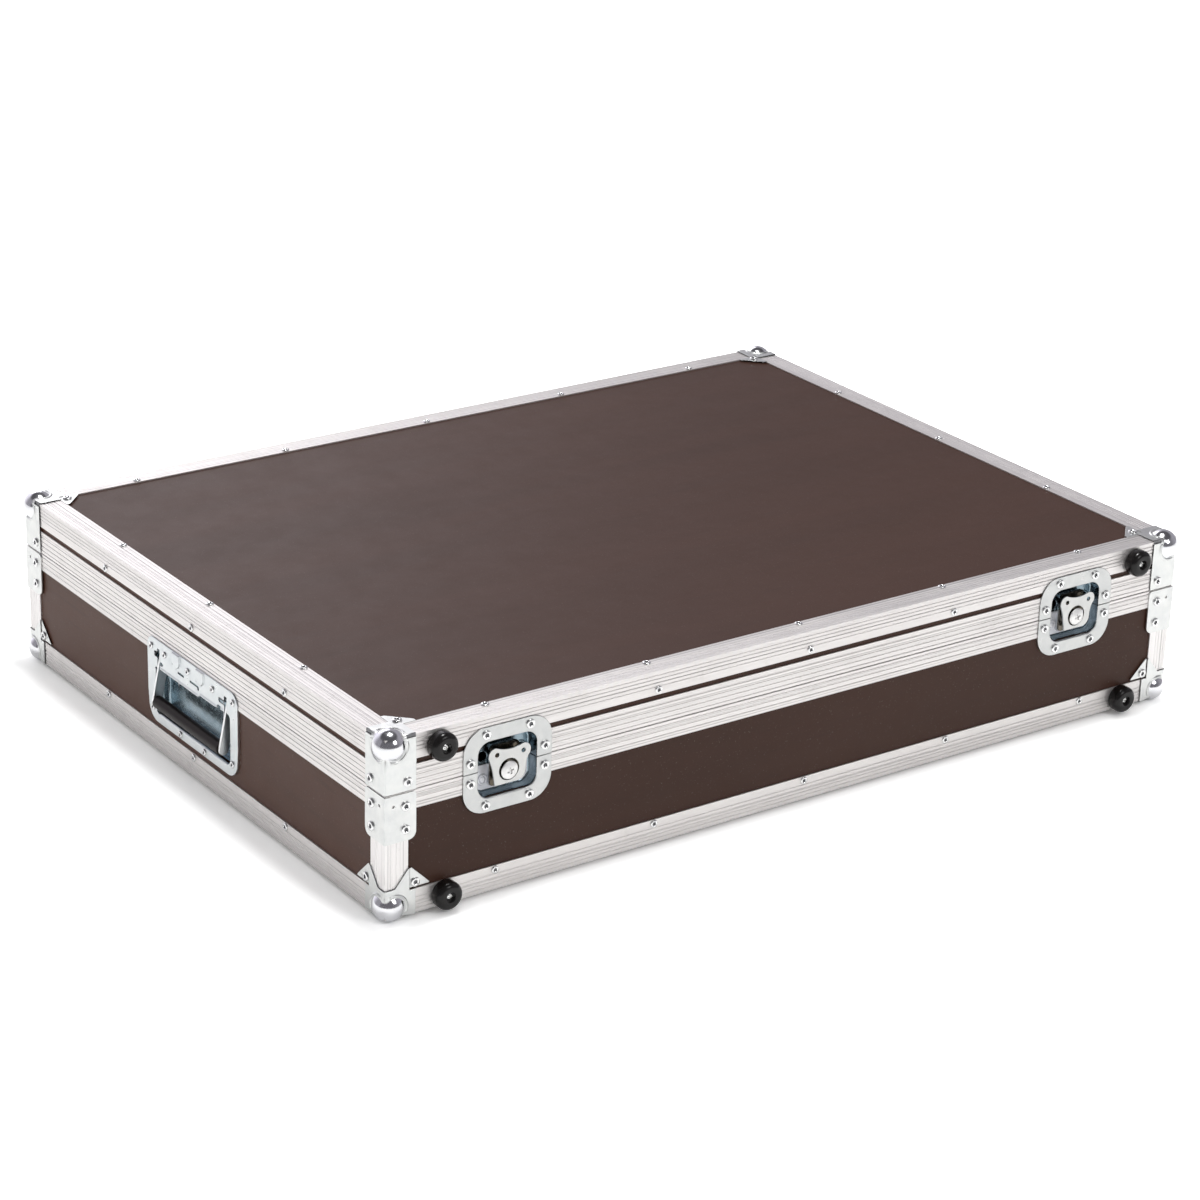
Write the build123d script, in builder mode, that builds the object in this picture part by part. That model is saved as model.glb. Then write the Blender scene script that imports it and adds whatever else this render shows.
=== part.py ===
from build123d import *
import os

os.makedirs("parts", exist_ok=True)

# ---------------------------------------------------------------------------
# Flat road case for a large controller: shallow base, hinged lid, two recessed
# butterfly latches at the front (-Y), a sprung recessed handle on each side.
# Origin: bottom centre of the whole part. +Z up, millimetres.
# ---------------------------------------------------------------------------

# outer faces of the edge profiles
case_w = 856.0
case_d = 636.0
case_h = 160.0
X0 = case_w / 2
Y0 = case_d / 2

# ball corners stand proud of the profiles, and the case rests on them
ball_r = 14.0
ball_in = 9.0
rest_flat = 0.4
z0 = ball_r - ball_in - rest_flat
z1 = z0 + case_h

# edge profiles
leg = 22.0
t = 1.5
groove_w = 0.9
groove_d = 0.4
fit = 0.05

# plywood
ply = 7.0

# parting line between base and lid
zp = z0 + 111.5
part_gap = 0.2
base_rim = 17.3
lid_rim = 21.9
rim_in = 10.0
tongue_h = 4.0
tongue_w = 2.4

# corner sheet metal
sheet = 1.2
corner_leg = 28.7
flap_leg = 42.0

# latches
latch_xs = (-311.6, 306.4)
dish_w = 86.0
dish_h = 76.0
dish_r = 21.0
well_w = 57.4
well_h = 48.6
well_r = 11.0
well_wall = 1.0
well_floor = Y0 - 9.5
throw = 6.0

# handles
bail_x = X0 - 5.2
bail_z = 97.7
grip_x = X0 + 3.6
grip_z = 55.1
grip_r = 5.8
grip_l = 116.6
arm_t = 2.5

# feet
foot_r = 12.5
foot_h = 12.0

# hinges
hinge_x = 255.0
hinge_y = Y0 + 6.0
knuckle_r = 4.5
pin_r = 2.0

# padding
floor_pad = 15.0
side_pad = 14.0
lid_pad = 12.5

front = Plane.XZ
left = Plane(origin=(0, 0, 0), x_dir=(0, -1, 0), z_dir=(-1, 0, 0))


def save(name, part):
    part.label = name
    export_step(part, "parts/" + name + ".step")


# ---------------------------------------------------------------------------
# Sections: (depth from the outer face, height)
# ---------------------------------------------------------------------------
lines = [4.0, 7.4, 10.8, 14.2]

bottom_section = [(0, z0)]
for g in lines:
    bottom_section += [(0, z0 + g - 0.45), (groove_d, z0 + g - 0.25), (groove_d, z0 + g + 0.25), (0, z0 + g + 0.45)]
bottom_section += [(0, z0 + leg), (t, z0 + leg), (t, z0 + t), (leg, z0 + t), (leg, z0)]
for g in reversed(lines):
    bottom_section += [(g + 0.45, z0), (g + 0.25, z0 + groove_d), (g - 0.25, z0 + groove_d), (g - 0.45, z0)]

top_section = [(d, z0 + z1 - z) for d, z in bottom_section]

b_top = zp - part_gap
b_low = zp - base_rim
base_rim_section = [(0, b_low)]
for g in [b_low + 5.2, b_low + 9.6, b_low + 14.0]:
    base_rim_section += [(0, g - 0.45), (groove_d, g - 0.25), (groove_d, g + 0.25), (0, g + 0.45)]
base_rim_section += [
    (0, b_top - 0.5), (0.5, b_top),
    (5 - tongue_w / 2, b_top), (5 - tongue_w / 4, b_top + tongue_h),
    (5 + tongue_w / 4, b_top + tongue_h), (5 + tongue_w / 2, b_top),
    (rim_in, b_top), (rim_in, b_top - 12), (rim_in - t, b_top - 12),
    (rim_in - t, b_top - 2), (t, b_top - 2), (t, b_low),
]

l_low = zp + part_gap
l_top = zp + lid_rim
lid_rim_section = [(0.5, l_low), (0, l_low + 0.5)]
for g in [l_low + 3.6, l_low + 8.0, l_low + 12.4, l_low + 16.8]:
    lid_rim_section += [(0, g - 0.45), (groove_d, g - 0.25), (groove_d, g + 0.25), (0, g + 0.45)]
lid_rim_section += [
    (0, l_top), (t, l_top), (t, l_low + 6), (rim_in - t, l_low + 6),
    (rim_in - t, l_low + 14), (rim_in, l_low + 14), (rim_in, l_low),
    (7.4, l_low), (7.4, l_low + 4.6), (2.6, l_low + 4.6), (2.6, l_low),
]


# Runs of profile with mitred ends
def front_run(section):
    with BuildPart() as run:
        with BuildSketch(Plane.YZ):
            with BuildLine():
                Polyline([(d - Y0, z) for d, z in section], close=True)
            make_face()
        extrude(amount=X0, both=True)
        split(bisect_by=Plane(origin=(X0 - fit, -Y0, 0), z_dir=(1, 1, 0)), keep=Keep.BOTTOM)
        split(bisect_by=Plane(origin=(fit - X0, -Y0, 0), z_dir=(-1, 1, 0)), keep=Keep.BOTTOM)
    return run


def left_run(section):
    with BuildPart() as run:
        with BuildSketch(Plane.XZ):
            with BuildLine():
                Polyline([(d - X0, z) for d, z in section], close=True)
            make_face()
        extrude(amount=Y0, both=True)
        split(bisect_by=Plane(origin=(-X0, fit - Y0, 0), z_dir=(1, -1, 0)), keep=Keep.BOTTOM)
        split(bisect_by=Plane(origin=(-X0, Y0 - fit, 0), z_dir=(1, 1, 0)), keep=Keep.BOTTOM)
    return run


def block(x_0, x_1, y_0, y_1, z_0, z_1, mode=Mode.ADD):
    """A box between two corners, in the block it is called in."""
    with Locations(((x_0 + x_1) / 2, (y_0 + y_1) / 2, (z_0 + z_1) / 2)):
        Box(abs(x_1 - x_0), abs(y_1 - y_0), abs(z_1 - z_0), mode=mode)


# ---------------------------------------------------------------------------
# Plywood panels
# ---------------------------------------------------------------------------
px = X0 - t
py = Y0 - t
cut_x = well_w / 2 + well_wall + 1.0
cut_z = well_h / 2 + well_wall + 0.3

with BuildPart() as base_floor_panel:
    block(-px, px, -py, py, z0 + t, z0 + t + ply)
save("base_floor_panel", base_floor_panel.part)

floor_top = z0 + t + ply
rim_seat = b_top - 2

with BuildPart() as base_front_panel:
    block(-px, px, -py, -py + ply, floor_top, rim_seat)
    for x in latch_xs:
        block(x - cut_x, x + cut_x, -Y0, -Y0 + 20, zp - cut_z, zp, mode=Mode.SUBTRACT)
    fillet(base_front_panel.edges().filter_by(Axis.Y).group_by(Axis.Z)[1], radius=8)
save("base_front_panel", base_front_panel.part)

with BuildPart() as base_back_panel:
    block(-px, px, py - ply, py, floor_top, rim_seat)
save("base_back_panel", base_back_panel.part)

h_cut_y = 69.5
h_cut_low = 39.2
h_cut_top = 109.4
with BuildPart() as base_side_panels:
    block(-px, -px + ply, -py + ply, py - ply, floor_top, rim_seat)
    block(-X0, -X0 + 20, -h_cut_y, h_cut_y, h_cut_low, h_cut_top, mode=Mode.SUBTRACT)
    mirror(about=Plane.YZ)
save("base_side_panels", base_side_panels.part)

top_in = z1 - t - ply
lid_seat = l_low + 6

with BuildPart() as lid_top_panel:
    block(-px, px, -py, py, top_in, z1 - t)
save("lid_top_panel", lid_top_panel.part)

with BuildPart() as lid_front_panel:
    block(-px, px, -py, -py + ply, lid_seat, top_in)
    for x in latch_xs:
        block(x - cut_x, x + cut_x, -Y0, -Y0 + 20, zp, zp + cut_z, mode=Mode.SUBTRACT)
    fillet(lid_front_panel.edges().filter_by(Axis.Y).group_by(Axis.Z)[1], radius=8)
save("lid_front_panel", lid_front_panel.part)

with BuildPart() as lid_back_panel:
    block(-px, px, py - ply, py, lid_seat, top_in)
save("lid_back_panel", lid_back_panel.part)

with BuildPart() as lid_side_panels:
    block(-px, -px + ply, -py + ply, py - ply, lid_seat, top_in)
    mirror(about=Plane.YZ)
save("lid_side_panels", lid_side_panels.part)

# ---------------------------------------------------------------------------
# Edge angles and rim profiles
# ---------------------------------------------------------------------------
def back_of(run):
    with BuildPart() as other:
        add(run.part)
        mirror(about=Plane.XZ, mode=Mode.REPLACE)
    return other


base_edge_angle_front = front_run(bottom_section)
save("base_edge_angle_front", base_edge_angle_front.part)
save("base_edge_angle_back", back_of(base_edge_angle_front).part)

with BuildPart() as base_edge_angles_side:
    add(left_run(bottom_section).part)
    mirror(about=Plane.YZ)
save("base_edge_angles_side", base_edge_angles_side.part)

lid_edge_angle_front = front_run(top_section)
save("lid_edge_angle_front", lid_edge_angle_front.part)
save("lid_edge_angle_back", back_of(lid_edge_angle_front).part)

with BuildPart() as lid_edge_angles_side:
    add(left_run(top_section).part)
    mirror(about=Plane.YZ)
save("lid_edge_angles_side", lid_edge_angles_side.part)

base_rim_run = front_run(base_rim_section)
save("base_rim_back", back_of(base_rim_run).part)
with BuildPart() as base_rim_front:
    add(base_rim_run.part)
    for x in latch_xs:
        block(x - cut_x, x + cut_x, -Y0 - 5, -Y0 + 20, zp - cut_z, zp + 10, mode=Mode.SUBTRACT)
save("base_rim_front", base_rim_front.part)

with BuildPart() as base_rims_side:
    add(left_run(base_rim_section).part)
    block(-X0 - 5, -X0 + 20, -h_cut_y, h_cut_y, h_cut_low, h_cut_top, mode=Mode.SUBTRACT)
    mirror(about=Plane.YZ)
save("base_rims_side", base_rims_side.part)

lid_rim_run = front_run(lid_rim_section)
save("lid_rim_back", back_of(lid_rim_run).part)
with BuildPart() as lid_rim_front:
    add(lid_rim_run.part)
    for x in latch_xs:
        block(x - cut_x, x + cut_x, -Y0 - 5, -Y0 + 20, zp - 10, zp + cut_z, mode=Mode.SUBTRACT)
save("lid_rim_front", lid_rim_front.part)

with BuildPart() as lid_rims_side:
    add(left_run(lid_rim_section).part)
    mirror(about=Plane.YZ)
save("lid_rims_side", lid_rims_side.part)

# upright angles at the four base corners
post_section = [(0, 0)]
for g in lines:
    post_section += [(g - 0.45, 0), (g - 0.25, groove_d), (g + 0.25, groove_d), (g + 0.45, 0)]
post_section += [(leg, 0), (leg, t), (t, t), (t, leg), (0, leg)]
for g in reversed(lines):
    post_section += [(0, g + 0.45), (groove_d, g + 0.25), (groove_d, g - 0.25), (0, g - 0.45)]

with BuildPart() as base_corner_posts:
    with BuildSketch(Plane.XY.offset(z0 + leg + 0.1)):
        with BuildLine():
            Polyline([(a - X0, b - Y0) for a, b in post_section], close=True)
        make_face()
    extrude(amount=b_low - 0.1 - (z0 + leg + 0.1))
    mirror(about=Plane.YZ)
    mirror(about=Plane.XZ)
save("base_corner_posts", base_corner_posts.part)

# ---------------------------------------------------------------------------
# Corners. A corner is drawn at the front left; a and b run in from the side
# and the front face, c runs in from the bottom (or from the top for the lid).
# ---------------------------------------------------------------------------
cl = corner_leg
fl = flap_leg
star = [(-sheet, -sheet), (cl, -sheet), (cl, leg + 0.6), (leg + 0.6, leg + 0.6), (leg + 0.6, fl),
        (leg - 0.8, fl), (9.0, cl - 2.2), (-sheet, cl - 2.2)]
flap = [(leg + 0.1, leg + 0.1), (fl, leg + 0.1), (fl, leg + 2.6), (leg + 2.8, fl), (leg + 0.1, fl)]
star_flat = [(-sheet, -sheet), (cl, -sheet), (cl, leg + 0.6), (leg + 0.6, leg + 0.6), (leg + 0.6, cl), (-sheet, cl)]


with BuildPart() as base_ball_corners:
    # front plate and its flap: local x = a, local y = c
    f_pl = Plane(origin=(-X0, -Y0, z0), x_dir=(1, 0, 0), z_dir=(0, -1, 0))
    with BuildSketch(f_pl):
        with BuildLine():
            Polyline(star, close=True)
        make_face()
    extrude(amount=sheet)
    with BuildSketch(f_pl.offset(-t)):
        with BuildLine():
            Polyline(flap, close=True)
        make_face()
    extrude(amount=t + 0.5)
    # side plate: local x = b, local y = c
    s_pl = Plane(origin=(-X0, -Y0, z0), x_dir=(0, 1, 0), z_dir=(-1, 0, 0))
    with BuildSketch(s_pl):
        with BuildLine():
            Polyline([(p, -q) for p, q in star], close=True)
        make_face()
    extrude(amount=sheet)
    with BuildSketch(s_pl.offset(-t)):
        with BuildLine():
            Polyline([(p, -q) for p, q in flap], close=True)
        make_face()
    extrude(amount=t + 0.5)
    # bottom plate
    u_pl = Plane(origin=(-X0, -Y0, z0), x_dir=(1, 0, 0), z_dir=(0, 0, -1))
    with BuildSketch(u_pl):
        with BuildLine():
            Polyline([(p, -q) for p, q in star_flat], close=True)
        make_face()
    extrude(amount=sheet)
    with BuildSketch(u_pl.offset(-t)):
        with BuildLine():
            Polyline([(p, -q) for p, q in flap], close=True)
        make_face()
    extrude(amount=t + 0.5)
    # the ball, outside the profiles only, with a small flat it rests on
    with Locations((ball_in - X0, ball_in - Y0, z0 + ball_in)):
        Sphere(ball_r)
    block(-X0, -X0 + 60, -Y0, -Y0 + t, z0, z0 + leg + 0.05, mode=Mode.SUBTRACT)
    block(-X0, -X0 + t, -Y0, -Y0 + 60, z0, z0 + leg + 0.05, mode=Mode.SUBTRACT)
    block(-X0, -X0 + 60, -Y0, -Y0 + leg + 0.05, z0, z0 + t, mode=Mode.SUBTRACT)
    block(-X0, -X0 + leg + 0.05, -Y0, -Y0 + 60, z0, z0 + t, mode=Mode.SUBTRACT)
    block(-X0, -X0 + leg + 0.05, -Y0, -Y0 + t, z0, z0 + 60, mode=Mode.SUBTRACT)
    block(-X0, -X0 + t, -Y0, -Y0 + leg + 0.05, z0, z0 + 60, mode=Mode.SUBTRACT)
    block(-X0 + t, -X0 + 60, -Y0 + t, -Y0 + 60, z0 + t, z0 + 60, mode=Mode.SUBTRACT)
    block(-X0 - 10, -X0 + 30, -Y0 - 10, -Y0 + 30, -5, 0, mode=Mode.SUBTRACT)
    mirror(about=Plane.YZ)
    mirror(about=Plane.XZ)
save("base_ball_corners", base_ball_corners.part)

lid_leg = z1 - (zp + 0.5)
with BuildPart() as lid_ball_corners:
    # long front and side plates from the top down to the parting line
    block(-X0 - sheet, -X0 + cl, -Y0 - sheet, -Y0, z1 - lid_leg, z1 + sheet)
    block(-X0 - sheet, -X0, -Y0 - sheet, -Y0 + cl, z1 - lid_leg, z1 + sheet)
    # top plate and its flap
    with BuildSketch(Plane.XY.offset(z1)):
        with BuildLine():
            Polyline([(p - X0, q - Y0) for p, q in star_flat], close=True)
        make_face()
    extrude(amount=sheet)
    with BuildSketch(Plane.XY.offset(z1 - t)):
        with BuildLine():
            Polyline([(p - X0, q - Y0) for p, q in flap], close=True)
        make_face()
    extrude(amount=t + 0.5)
    with Locations((ball_in - X0, ball_in - Y0, z1 - ball_in)):
        Sphere(ball_r)
    block(-X0, -X0 + 60, -Y0, -Y0 + 60, z1 - 60, z1 - t, mode=Mode.SUBTRACT)
    block(-X0, -X0 + 60, -Y0, -Y0 + leg + 0.05, z1 - t, z1, mode=Mode.SUBTRACT)
    block(-X0, -X0 + leg + 0.05, -Y0, -Y0 + 60, z1 - t, z1, mode=Mode.SUBTRACT)
    mirror(about=Plane.YZ)
    mirror(about=Plane.XZ)
save("lid_ball_corners", lid_ball_corners.part)

# flat braces at the top of each base corner
with BuildPart() as base_corner_braces:
    block(-X0 - sheet, -X0 + cl, -Y0 - sheet, -Y0, 72.8, zp - 1.2)
    block(-X0 - sheet, -X0, -Y0 - sheet, -Y0 + cl, 72.8, zp - 1.2)
    tips = base_corner_braces.edges().filter_by(Axis.Y).group_by(Axis.X)[-1]
    fillet(tips.sort_by(Axis.Z)[0], radius=7)
    fillet(base_corner_braces.edges().filter_by(Axis.Y).group_by(Axis.X)[-1].sort_by(Axis.Z)[-1], radius=3)
    fillet(base_corner_braces.edges().filter_by(Axis.X).group_by(Axis.Y)[-1].sort_by(Axis.Z)[0], radius=7)
    fillet(base_corner_braces.edges().filter_by(Axis.X).group_by(Axis.Y)[-1].sort_by(Axis.Z)[-1], radius=3)
    with Locations(Location((-X0 + 7.1, -Y0, 105.7), (90, 0, 0)), Location((-X0, -Y0 + 7.1, 105.7), (0, 90, 0))):
        Cylinder(radius=1.4, height=6, mode=Mode.SUBTRACT)
    mirror(about=Plane.YZ)
    mirror(about=Plane.XZ)
save("base_corner_braces", base_corner_braces.part)

# ---------------------------------------------------------------------------
# Rivets: domed heads with a small centre dimple
# ---------------------------------------------------------------------------
def rivet(r, h):
    with BuildPart() as one:
        with BuildSketch(Plane.XZ):
            with BuildLine():
                Polyline((0, 0), (r, 0), (r, 0.35))
                ThreePointArc((r, 0.35), (r * 0.72, h * 0.78), (r * 0.34, h))
                Polyline((r * 0.34, h), (r * 0.24, h - 0.55), (0, h - 0.55), (0, 0))
            make_face()
        revolve(axis=Axis.Z)
    return one.part


edge_rivet = rivet(3.6, 1.3)
hard_rivet = rivet(4.2, 1.6)


def on_front(x, z, y=-Y0):
    return Location((x, y, z), (90, 0, 0))


def on_back(x, z, y=Y0):
    return Location((x, y, z), (-90, 0, 0))


def on_left(y, z, x=-X0):
    return Location((x, y, z), (0, -90, 0))


def on_right(y, z, x=X0):
    return Location((x, y, z), (0, 90, 0))


def heads(name, one, places):
    with BuildPart() as group:
        with Locations(*places):
            add(one)
    save(name, group.part)
    return group


run_x = [-322, -161, 0, 161, 322]
run_y = [-159.5, 0, 159.5]
rv = 18.2
base_places = []
for x in run_x:
    base_places += [on_front(x, z0 + rv), on_back(x, z0 + rv),
                    Location((x, -Y0 + rv, z0), (180, 0, 0)), Location((x, Y0 - rv, z0), (180, 0, 0))]
for y in run_y:
    base_places += [on_left(y, z0 + rv), on_right(y, z0 + rv),
                    Location((-X0 + rv, y, z0), (180, 0, 0)), Location((X0 - rv, y, z0), (180, 0, 0))]
# and three in each hinge leaf
for x in (-hinge_x - 22, -hinge_x, -hinge_x + 22, hinge_x - 22, hinge_x, hinge_x + 22):
    base_places.append(on_back(x, b_low + 5.2, Y0 + 1.5))
heads("base_edge_rivets", edge_rivet, base_places)

lid_places = []
for x in run_x:
    if abs(x) < 300:
        lid_places.append(on_front(x, z1 - rv + 0.8))
    lid_places += [on_back(x, z1 - rv), Location((x, -Y0 + rv, z1)), Location((x, Y0 - rv, z1))]
for y in run_y:
    lid_places += [on_left(y, z1 - rv), on_right(y, z1 - rv),
                   Location((-X0 + rv, y, z1)), Location((X0 - rv, y, z1))]
for x in (-hinge_x - 22, -hinge_x, -hinge_x + 22, hinge_x - 22, hinge_x, hinge_x + 22):
    lid_places.append(on_back(x, l_top - 5.4, Y0 + 1.5))
heads("lid_edge_rivets", edge_rivet, lid_places)

# rivets of the corner metal
ca = 18.6
fp = leg + 6.4
base_corner_places = []
lid_corner_places = []
for sx in (-1, 1):
    for sy, on_face in ((-1, on_front), (1, on_back)):
        for z in (83.0, 103.7):
            base_corner_places.append(on_face(sx * (X0 - ca), z, sy * (Y0 + sheet)))
        base_corner_places.append(on_face(sx * (X0 - fp), z0 + fp, sy * (Y0 + 0.5)))
        lid_corner_places.append(on_face(sx * (X0 - 20.6), 124.8, sy * (Y0 + sheet)))
        base_corner_places.append(Location((sx * (X0 - fp), sy * (Y0 - fp), z0 - 0.5), (180, 0, 0)))
        lid_corner_places.append(Location((sx * (X0 - fp), sy * (Y0 - fp), z1 + 0.5)))
    on_face = on_left if sx < 0 else on_right
    for sy in (-1, 1):
        for z in (83.0, 103.7):
            base_corner_places.append(on_face(sy * (Y0 - ca), z, sx * (X0 + sheet)))
        base_corner_places.append(on_face(sy * (Y0 - fp), z0 + fp, sx * (X0 + 0.5)))
        lid_corner_places.append(on_face(sy * (Y0 - 20.6), 124.8, sx * (X0 + sheet)))
heads("base_corner_rivets", hard_rivet, base_corner_places)
heads("lid_corner_rivets", hard_rivet, lid_corner_places)

# ---------------------------------------------------------------------------
# Rubber feet on the front, two on the base and two on the lid
# ---------------------------------------------------------------------------
def feet(x, z):
    with BuildPart() as pucks:
        with Locations(Location((-x, -Y0 - foot_h / 2, z), (90, 0, 0))):
            Cylinder(radius=foot_r, height=foot_h)
        fillet(pucks.edges().filter_by(GeomType.CIRCLE).sort_by(Axis.Y)[0], radius=3.2)
        fillet(pucks.edges().filter_by(GeomType.CIRCLE).sort_by(Axis.Y)[-1], radius=1.2)
        with Locations(Location((-x, -Y0 - foot_h / 2 - 2.5, z), (90, 0, 0))):
            Cylinder(radius=4.6, height=foot_h - 5, mode=Mode.SUBTRACT)
        mirror(about=Plane.YZ)
    with BuildPart() as screws:
        with Locations(Location((-x, -Y0 - 5.0 - 0.4, z), (90, 0, 0))):
            Cylinder(radius=4.3, height=0.8)
        with Locations(Location((-x, -Y0 - 5.8 - 1.1, z), (90, 0, 0))):
            Cylinder(radius=3.1, height=2.2)
        fillet(screws.edges().filter_by(GeomType.CIRCLE).sort_by(Axis.Y)[0], radius=1.2)
        with Locations((-x, -Y0 - 8.0, z)):
            Box(0.8, 1.6, 3.6, mode=Mode.SUBTRACT)
            Box(3.6, 1.6, 0.8, mode=Mode.SUBTRACT)
        mirror(about=Plane.YZ)
    return pucks, screws


base_feet, base_foot_screws = feet(X0 - 56.4, z0 + 10.9)
save("base_feet", base_feet.part)
save("base_foot_screws", base_foot_screws.part)
lid_feet, lid_foot_screws = feet(X0 - 51.0, z1 - 14.2)
save("lid_feet", lid_feet.part)
save("lid_foot_screws", lid_foot_screws.part)

# ---------------------------------------------------------------------------
# Latches: split dish, spindle with cam, sliding hook, folding wing.
# Drawn at the left latch, repeated for the right one.
# ---------------------------------------------------------------------------
lx = latch_xs[0]
axis_z = zp - 4.0
pin_z = zp - 13.2
f_in = Y0 - well_floor


def dish(keep):
    with BuildPart() as d:
        # flange
        with BuildSketch(front.offset(Y0)):
            with Locations((lx, zp)):
                RectangleRounded(dish_w, dish_h, dish_r)
                RectangleRounded(well_w, well_h, well_r, mode=Mode.SUBTRACT)
        extrude(amount=sheet)
        fillet(d.faces().sort_by(Axis.Y)[0].outer_wire().edges(), radius=0.6)
        # turned-back edge down to the panel, below the rim profile
        with BuildSketch(front.offset(Y0 - t)):
            with Locations((lx, zp)):
                RectangleRounded(dish_w, dish_h, dish_r)
            with Locations((lx, b_low - 0.2 + 50)):
                Rectangle(200, 100, mode=Mode.SUBTRACT)
        extrude(amount=t)
        # well
        with BuildSketch(front.offset(well_floor - 1.2)):
            with Locations((lx, zp)):
                RectangleRounded(well_w + 2 * well_wall, well_h + 2 * well_wall, well_r + well_wall)
        extrude(amount=f_in + 1.2)
        with BuildSketch(front.offset(well_floor)):
            with Locations((lx, zp)):
                RectangleRounded(well_w, well_h, well_r)
        extrude(amount=f_in + 5, mode=Mode.SUBTRACT)
        if keep == Keep.BOTTOM:
            split(bisect_by=Plane.XY.offset(zp - 0.25), keep=Keep.BOTTOM)
            # bearing block of the spindle, standing a little above the split
            block(lx - 13, lx + 13, -well_floor - 3.2, -well_floor, zp - 19, zp - 0.25)
            block(lx - 13, lx + 13, -well_floor - 3.2, -well_floor - 0.4, zp - 1, zp + 8.5)
            with Locations(Location((lx, -well_floor - 2, axis_z), (90, 0, 0))):
                Cylinder(radius=4.05, height=3.2, mode=Mode.SUBTRACT)
        else:
            split(bisect_by=Plane.XY.offset(zp + 0.25), keep=Keep.TOP)
            # catch
            block(lx - 12, lx + 12, -well_floor - 2.7, -well_floor, zp + 12.5, zp + 16)
    return d


latch_left_lower_dish = dish(Keep.BOTTOM)
latch_left_upper_dish = dish(Keep.TOP)

# spindle: y values run outwards from the well floor
ys = -well_floor
cam_off = throw / 2
head_h = 4.9
with BuildPart() as latch_left_spindle:
    with Locations(Location((lx, ys - 0.6 - 1.4, axis_z), (90, 0, 0))):
        Cylinder(radius=4.0, height=2.8)
    with Locations(Location((lx, ys - 3.4 - 1.2, axis_z - cam_off), (90, 0, 0))):
        Cylinder(radius=5.5, height=2.4)
    with Locations(Location((lx, ys - 5.8 - 2.3, axis_z), (90, 0, 0))):
        Cylinder(radius=5.5, height=4.6)
    # carrier arm down to the wing's pin
    block(lx - 4.7, lx + 4.7, ys - 8.0, ys - 5.8, pin_z, axis_z)
    with Locations(Location((lx, ys - 8.8, pin_z), (0, 90, 0))):
        Cylinder(radius=1.9, height=9.4)
        Cylinder(radius=1.2, height=18.4)
    # domed head with a driver slot
    with Locations(Location((lx, ys - 10.4 - head_h / 2, axis_z), (90, 0, 0))):
        Cylinder(radius=8.6, height=head_h)
    fillet(latch_left_spindle.edges().filter_by(GeomType.CIRCLE).sort_by(Axis.Y)[0], radius=1.6)
    with Locations((lx, ys - 10.4 - head_h, axis_z)):
        Box(3.6, 1.0, 3.6, mode=Mode.SUBTRACT)

# hook: plate with the cam window and a lip over the catch
with BuildPart() as latch_left_hook:
    with BuildSketch(front.offset(well_floor + 3.6)):
        with Locations((lx, zp - 0.55)):
            RectangleRounded(28, 36.1, 3)
        with Locations((lx, axis_z - cam_off)):
            RectangleRounded(17.6, 13.0, 3, mode=Mode.SUBTRACT)
        with Locations((lx, zp + 10)):
            RectangleRounded(14, 4, 1.5, mode=Mode.SUBTRACT)
    extrude(amount=2.0)
    block(lx - 11, lx + 11, ys - 3.8, ys - 3.0, zp + 16.4, zp + 17.5)

# wing: flat butterfly plate folded down round the spindle head
wy = Y0 + 1.6
with BuildPart() as latch_left_wing:
    with BuildSketch(front.offset(wy)):
        with BuildLine():
            l1 = Line((lx - 13.8, zp - 15.3), (lx + 8.0, zp - 15.3))
            l2 = ThreePointArc((lx + 8.0, zp - 15.3), (lx + 13.6, zp - 13.0), (lx + 16.0, zp - 7.6))
            l3 = Spline((lx + 16.0, zp - 7.6), (lx + 16.6, zp - 1), (lx + 19.0, zp + 5.5), tangents=((0.1, 1), (0.55, 1)))
            l4 = ThreePointArc((lx + 19.0, zp + 5.5), (lx + 20.0, zp + 13.6), (lx + 13.0, zp + 16.6))
            l5 = ThreePointArc((lx + 13.0, zp + 16.6), (lx - 0.5, zp + 14.8), (lx - 12.5, zp + 18.0))
            l6 = ThreePointArc((lx - 12.5, zp + 18.0), (lx - 18.6, zp + 15.6), (lx - 19.0, zp + 8.2))
            l7 = Spline((lx - 19.0, zp + 8.2), (lx - 16.6, zp + 1), (lx - 15.0, zp - 7), (lx - 13.8, zp - 15.3),
                        tangents=((0.4, -1), (0.1, -1)))
        make_face()
        with Locations((lx, zp - 3.3)):
            Circle(9.8, mode=Mode.SUBTRACT)
        with Locations((lx - 11.8, zp + 11.8), (lx + 13.9, zp + 10.4)):
            Circle(2.1, mode=Mode.SUBTRACT)
    extrude(amount=1.4)
    for sx in (-1, 1):
        with Locations(Location((lx + sx * 7.0, ys - 8.8, pin_z), (0, 90, 0))):
            Cylinder(radius=2.0, height=4.0)
        block(lx + sx * 5.0, lx + sx * 9.0, -wy - 0.2, ys - 8.8, pin_z - 2.0, pin_z + 0.9)
    with Locations(Location((lx, ys - 8.8, pin_z), (0, 90, 0))):
        Cylinder(radius=1.25, height=30, mode=Mode.SUBTRACT)


def mirrored(piece):
    with BuildPart() as other:
        add(piece.part)
        mirror(about=Plane.YZ, mode=Mode.REPLACE)
    return other


for name, piece in (
    ("lower_dish", latch_left_lower_dish),
    ("upper_dish", latch_left_upper_dish),
    ("spindle", latch_left_spindle),
    ("hook", latch_left_hook),
    ("wing", latch_left_wing),
):
    save("latch_left_" + name, piece.part)
    save("latch_right_" + name, Pos(latch_xs[1] - latch_xs[0], 0, 0) * piece.part)

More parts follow.
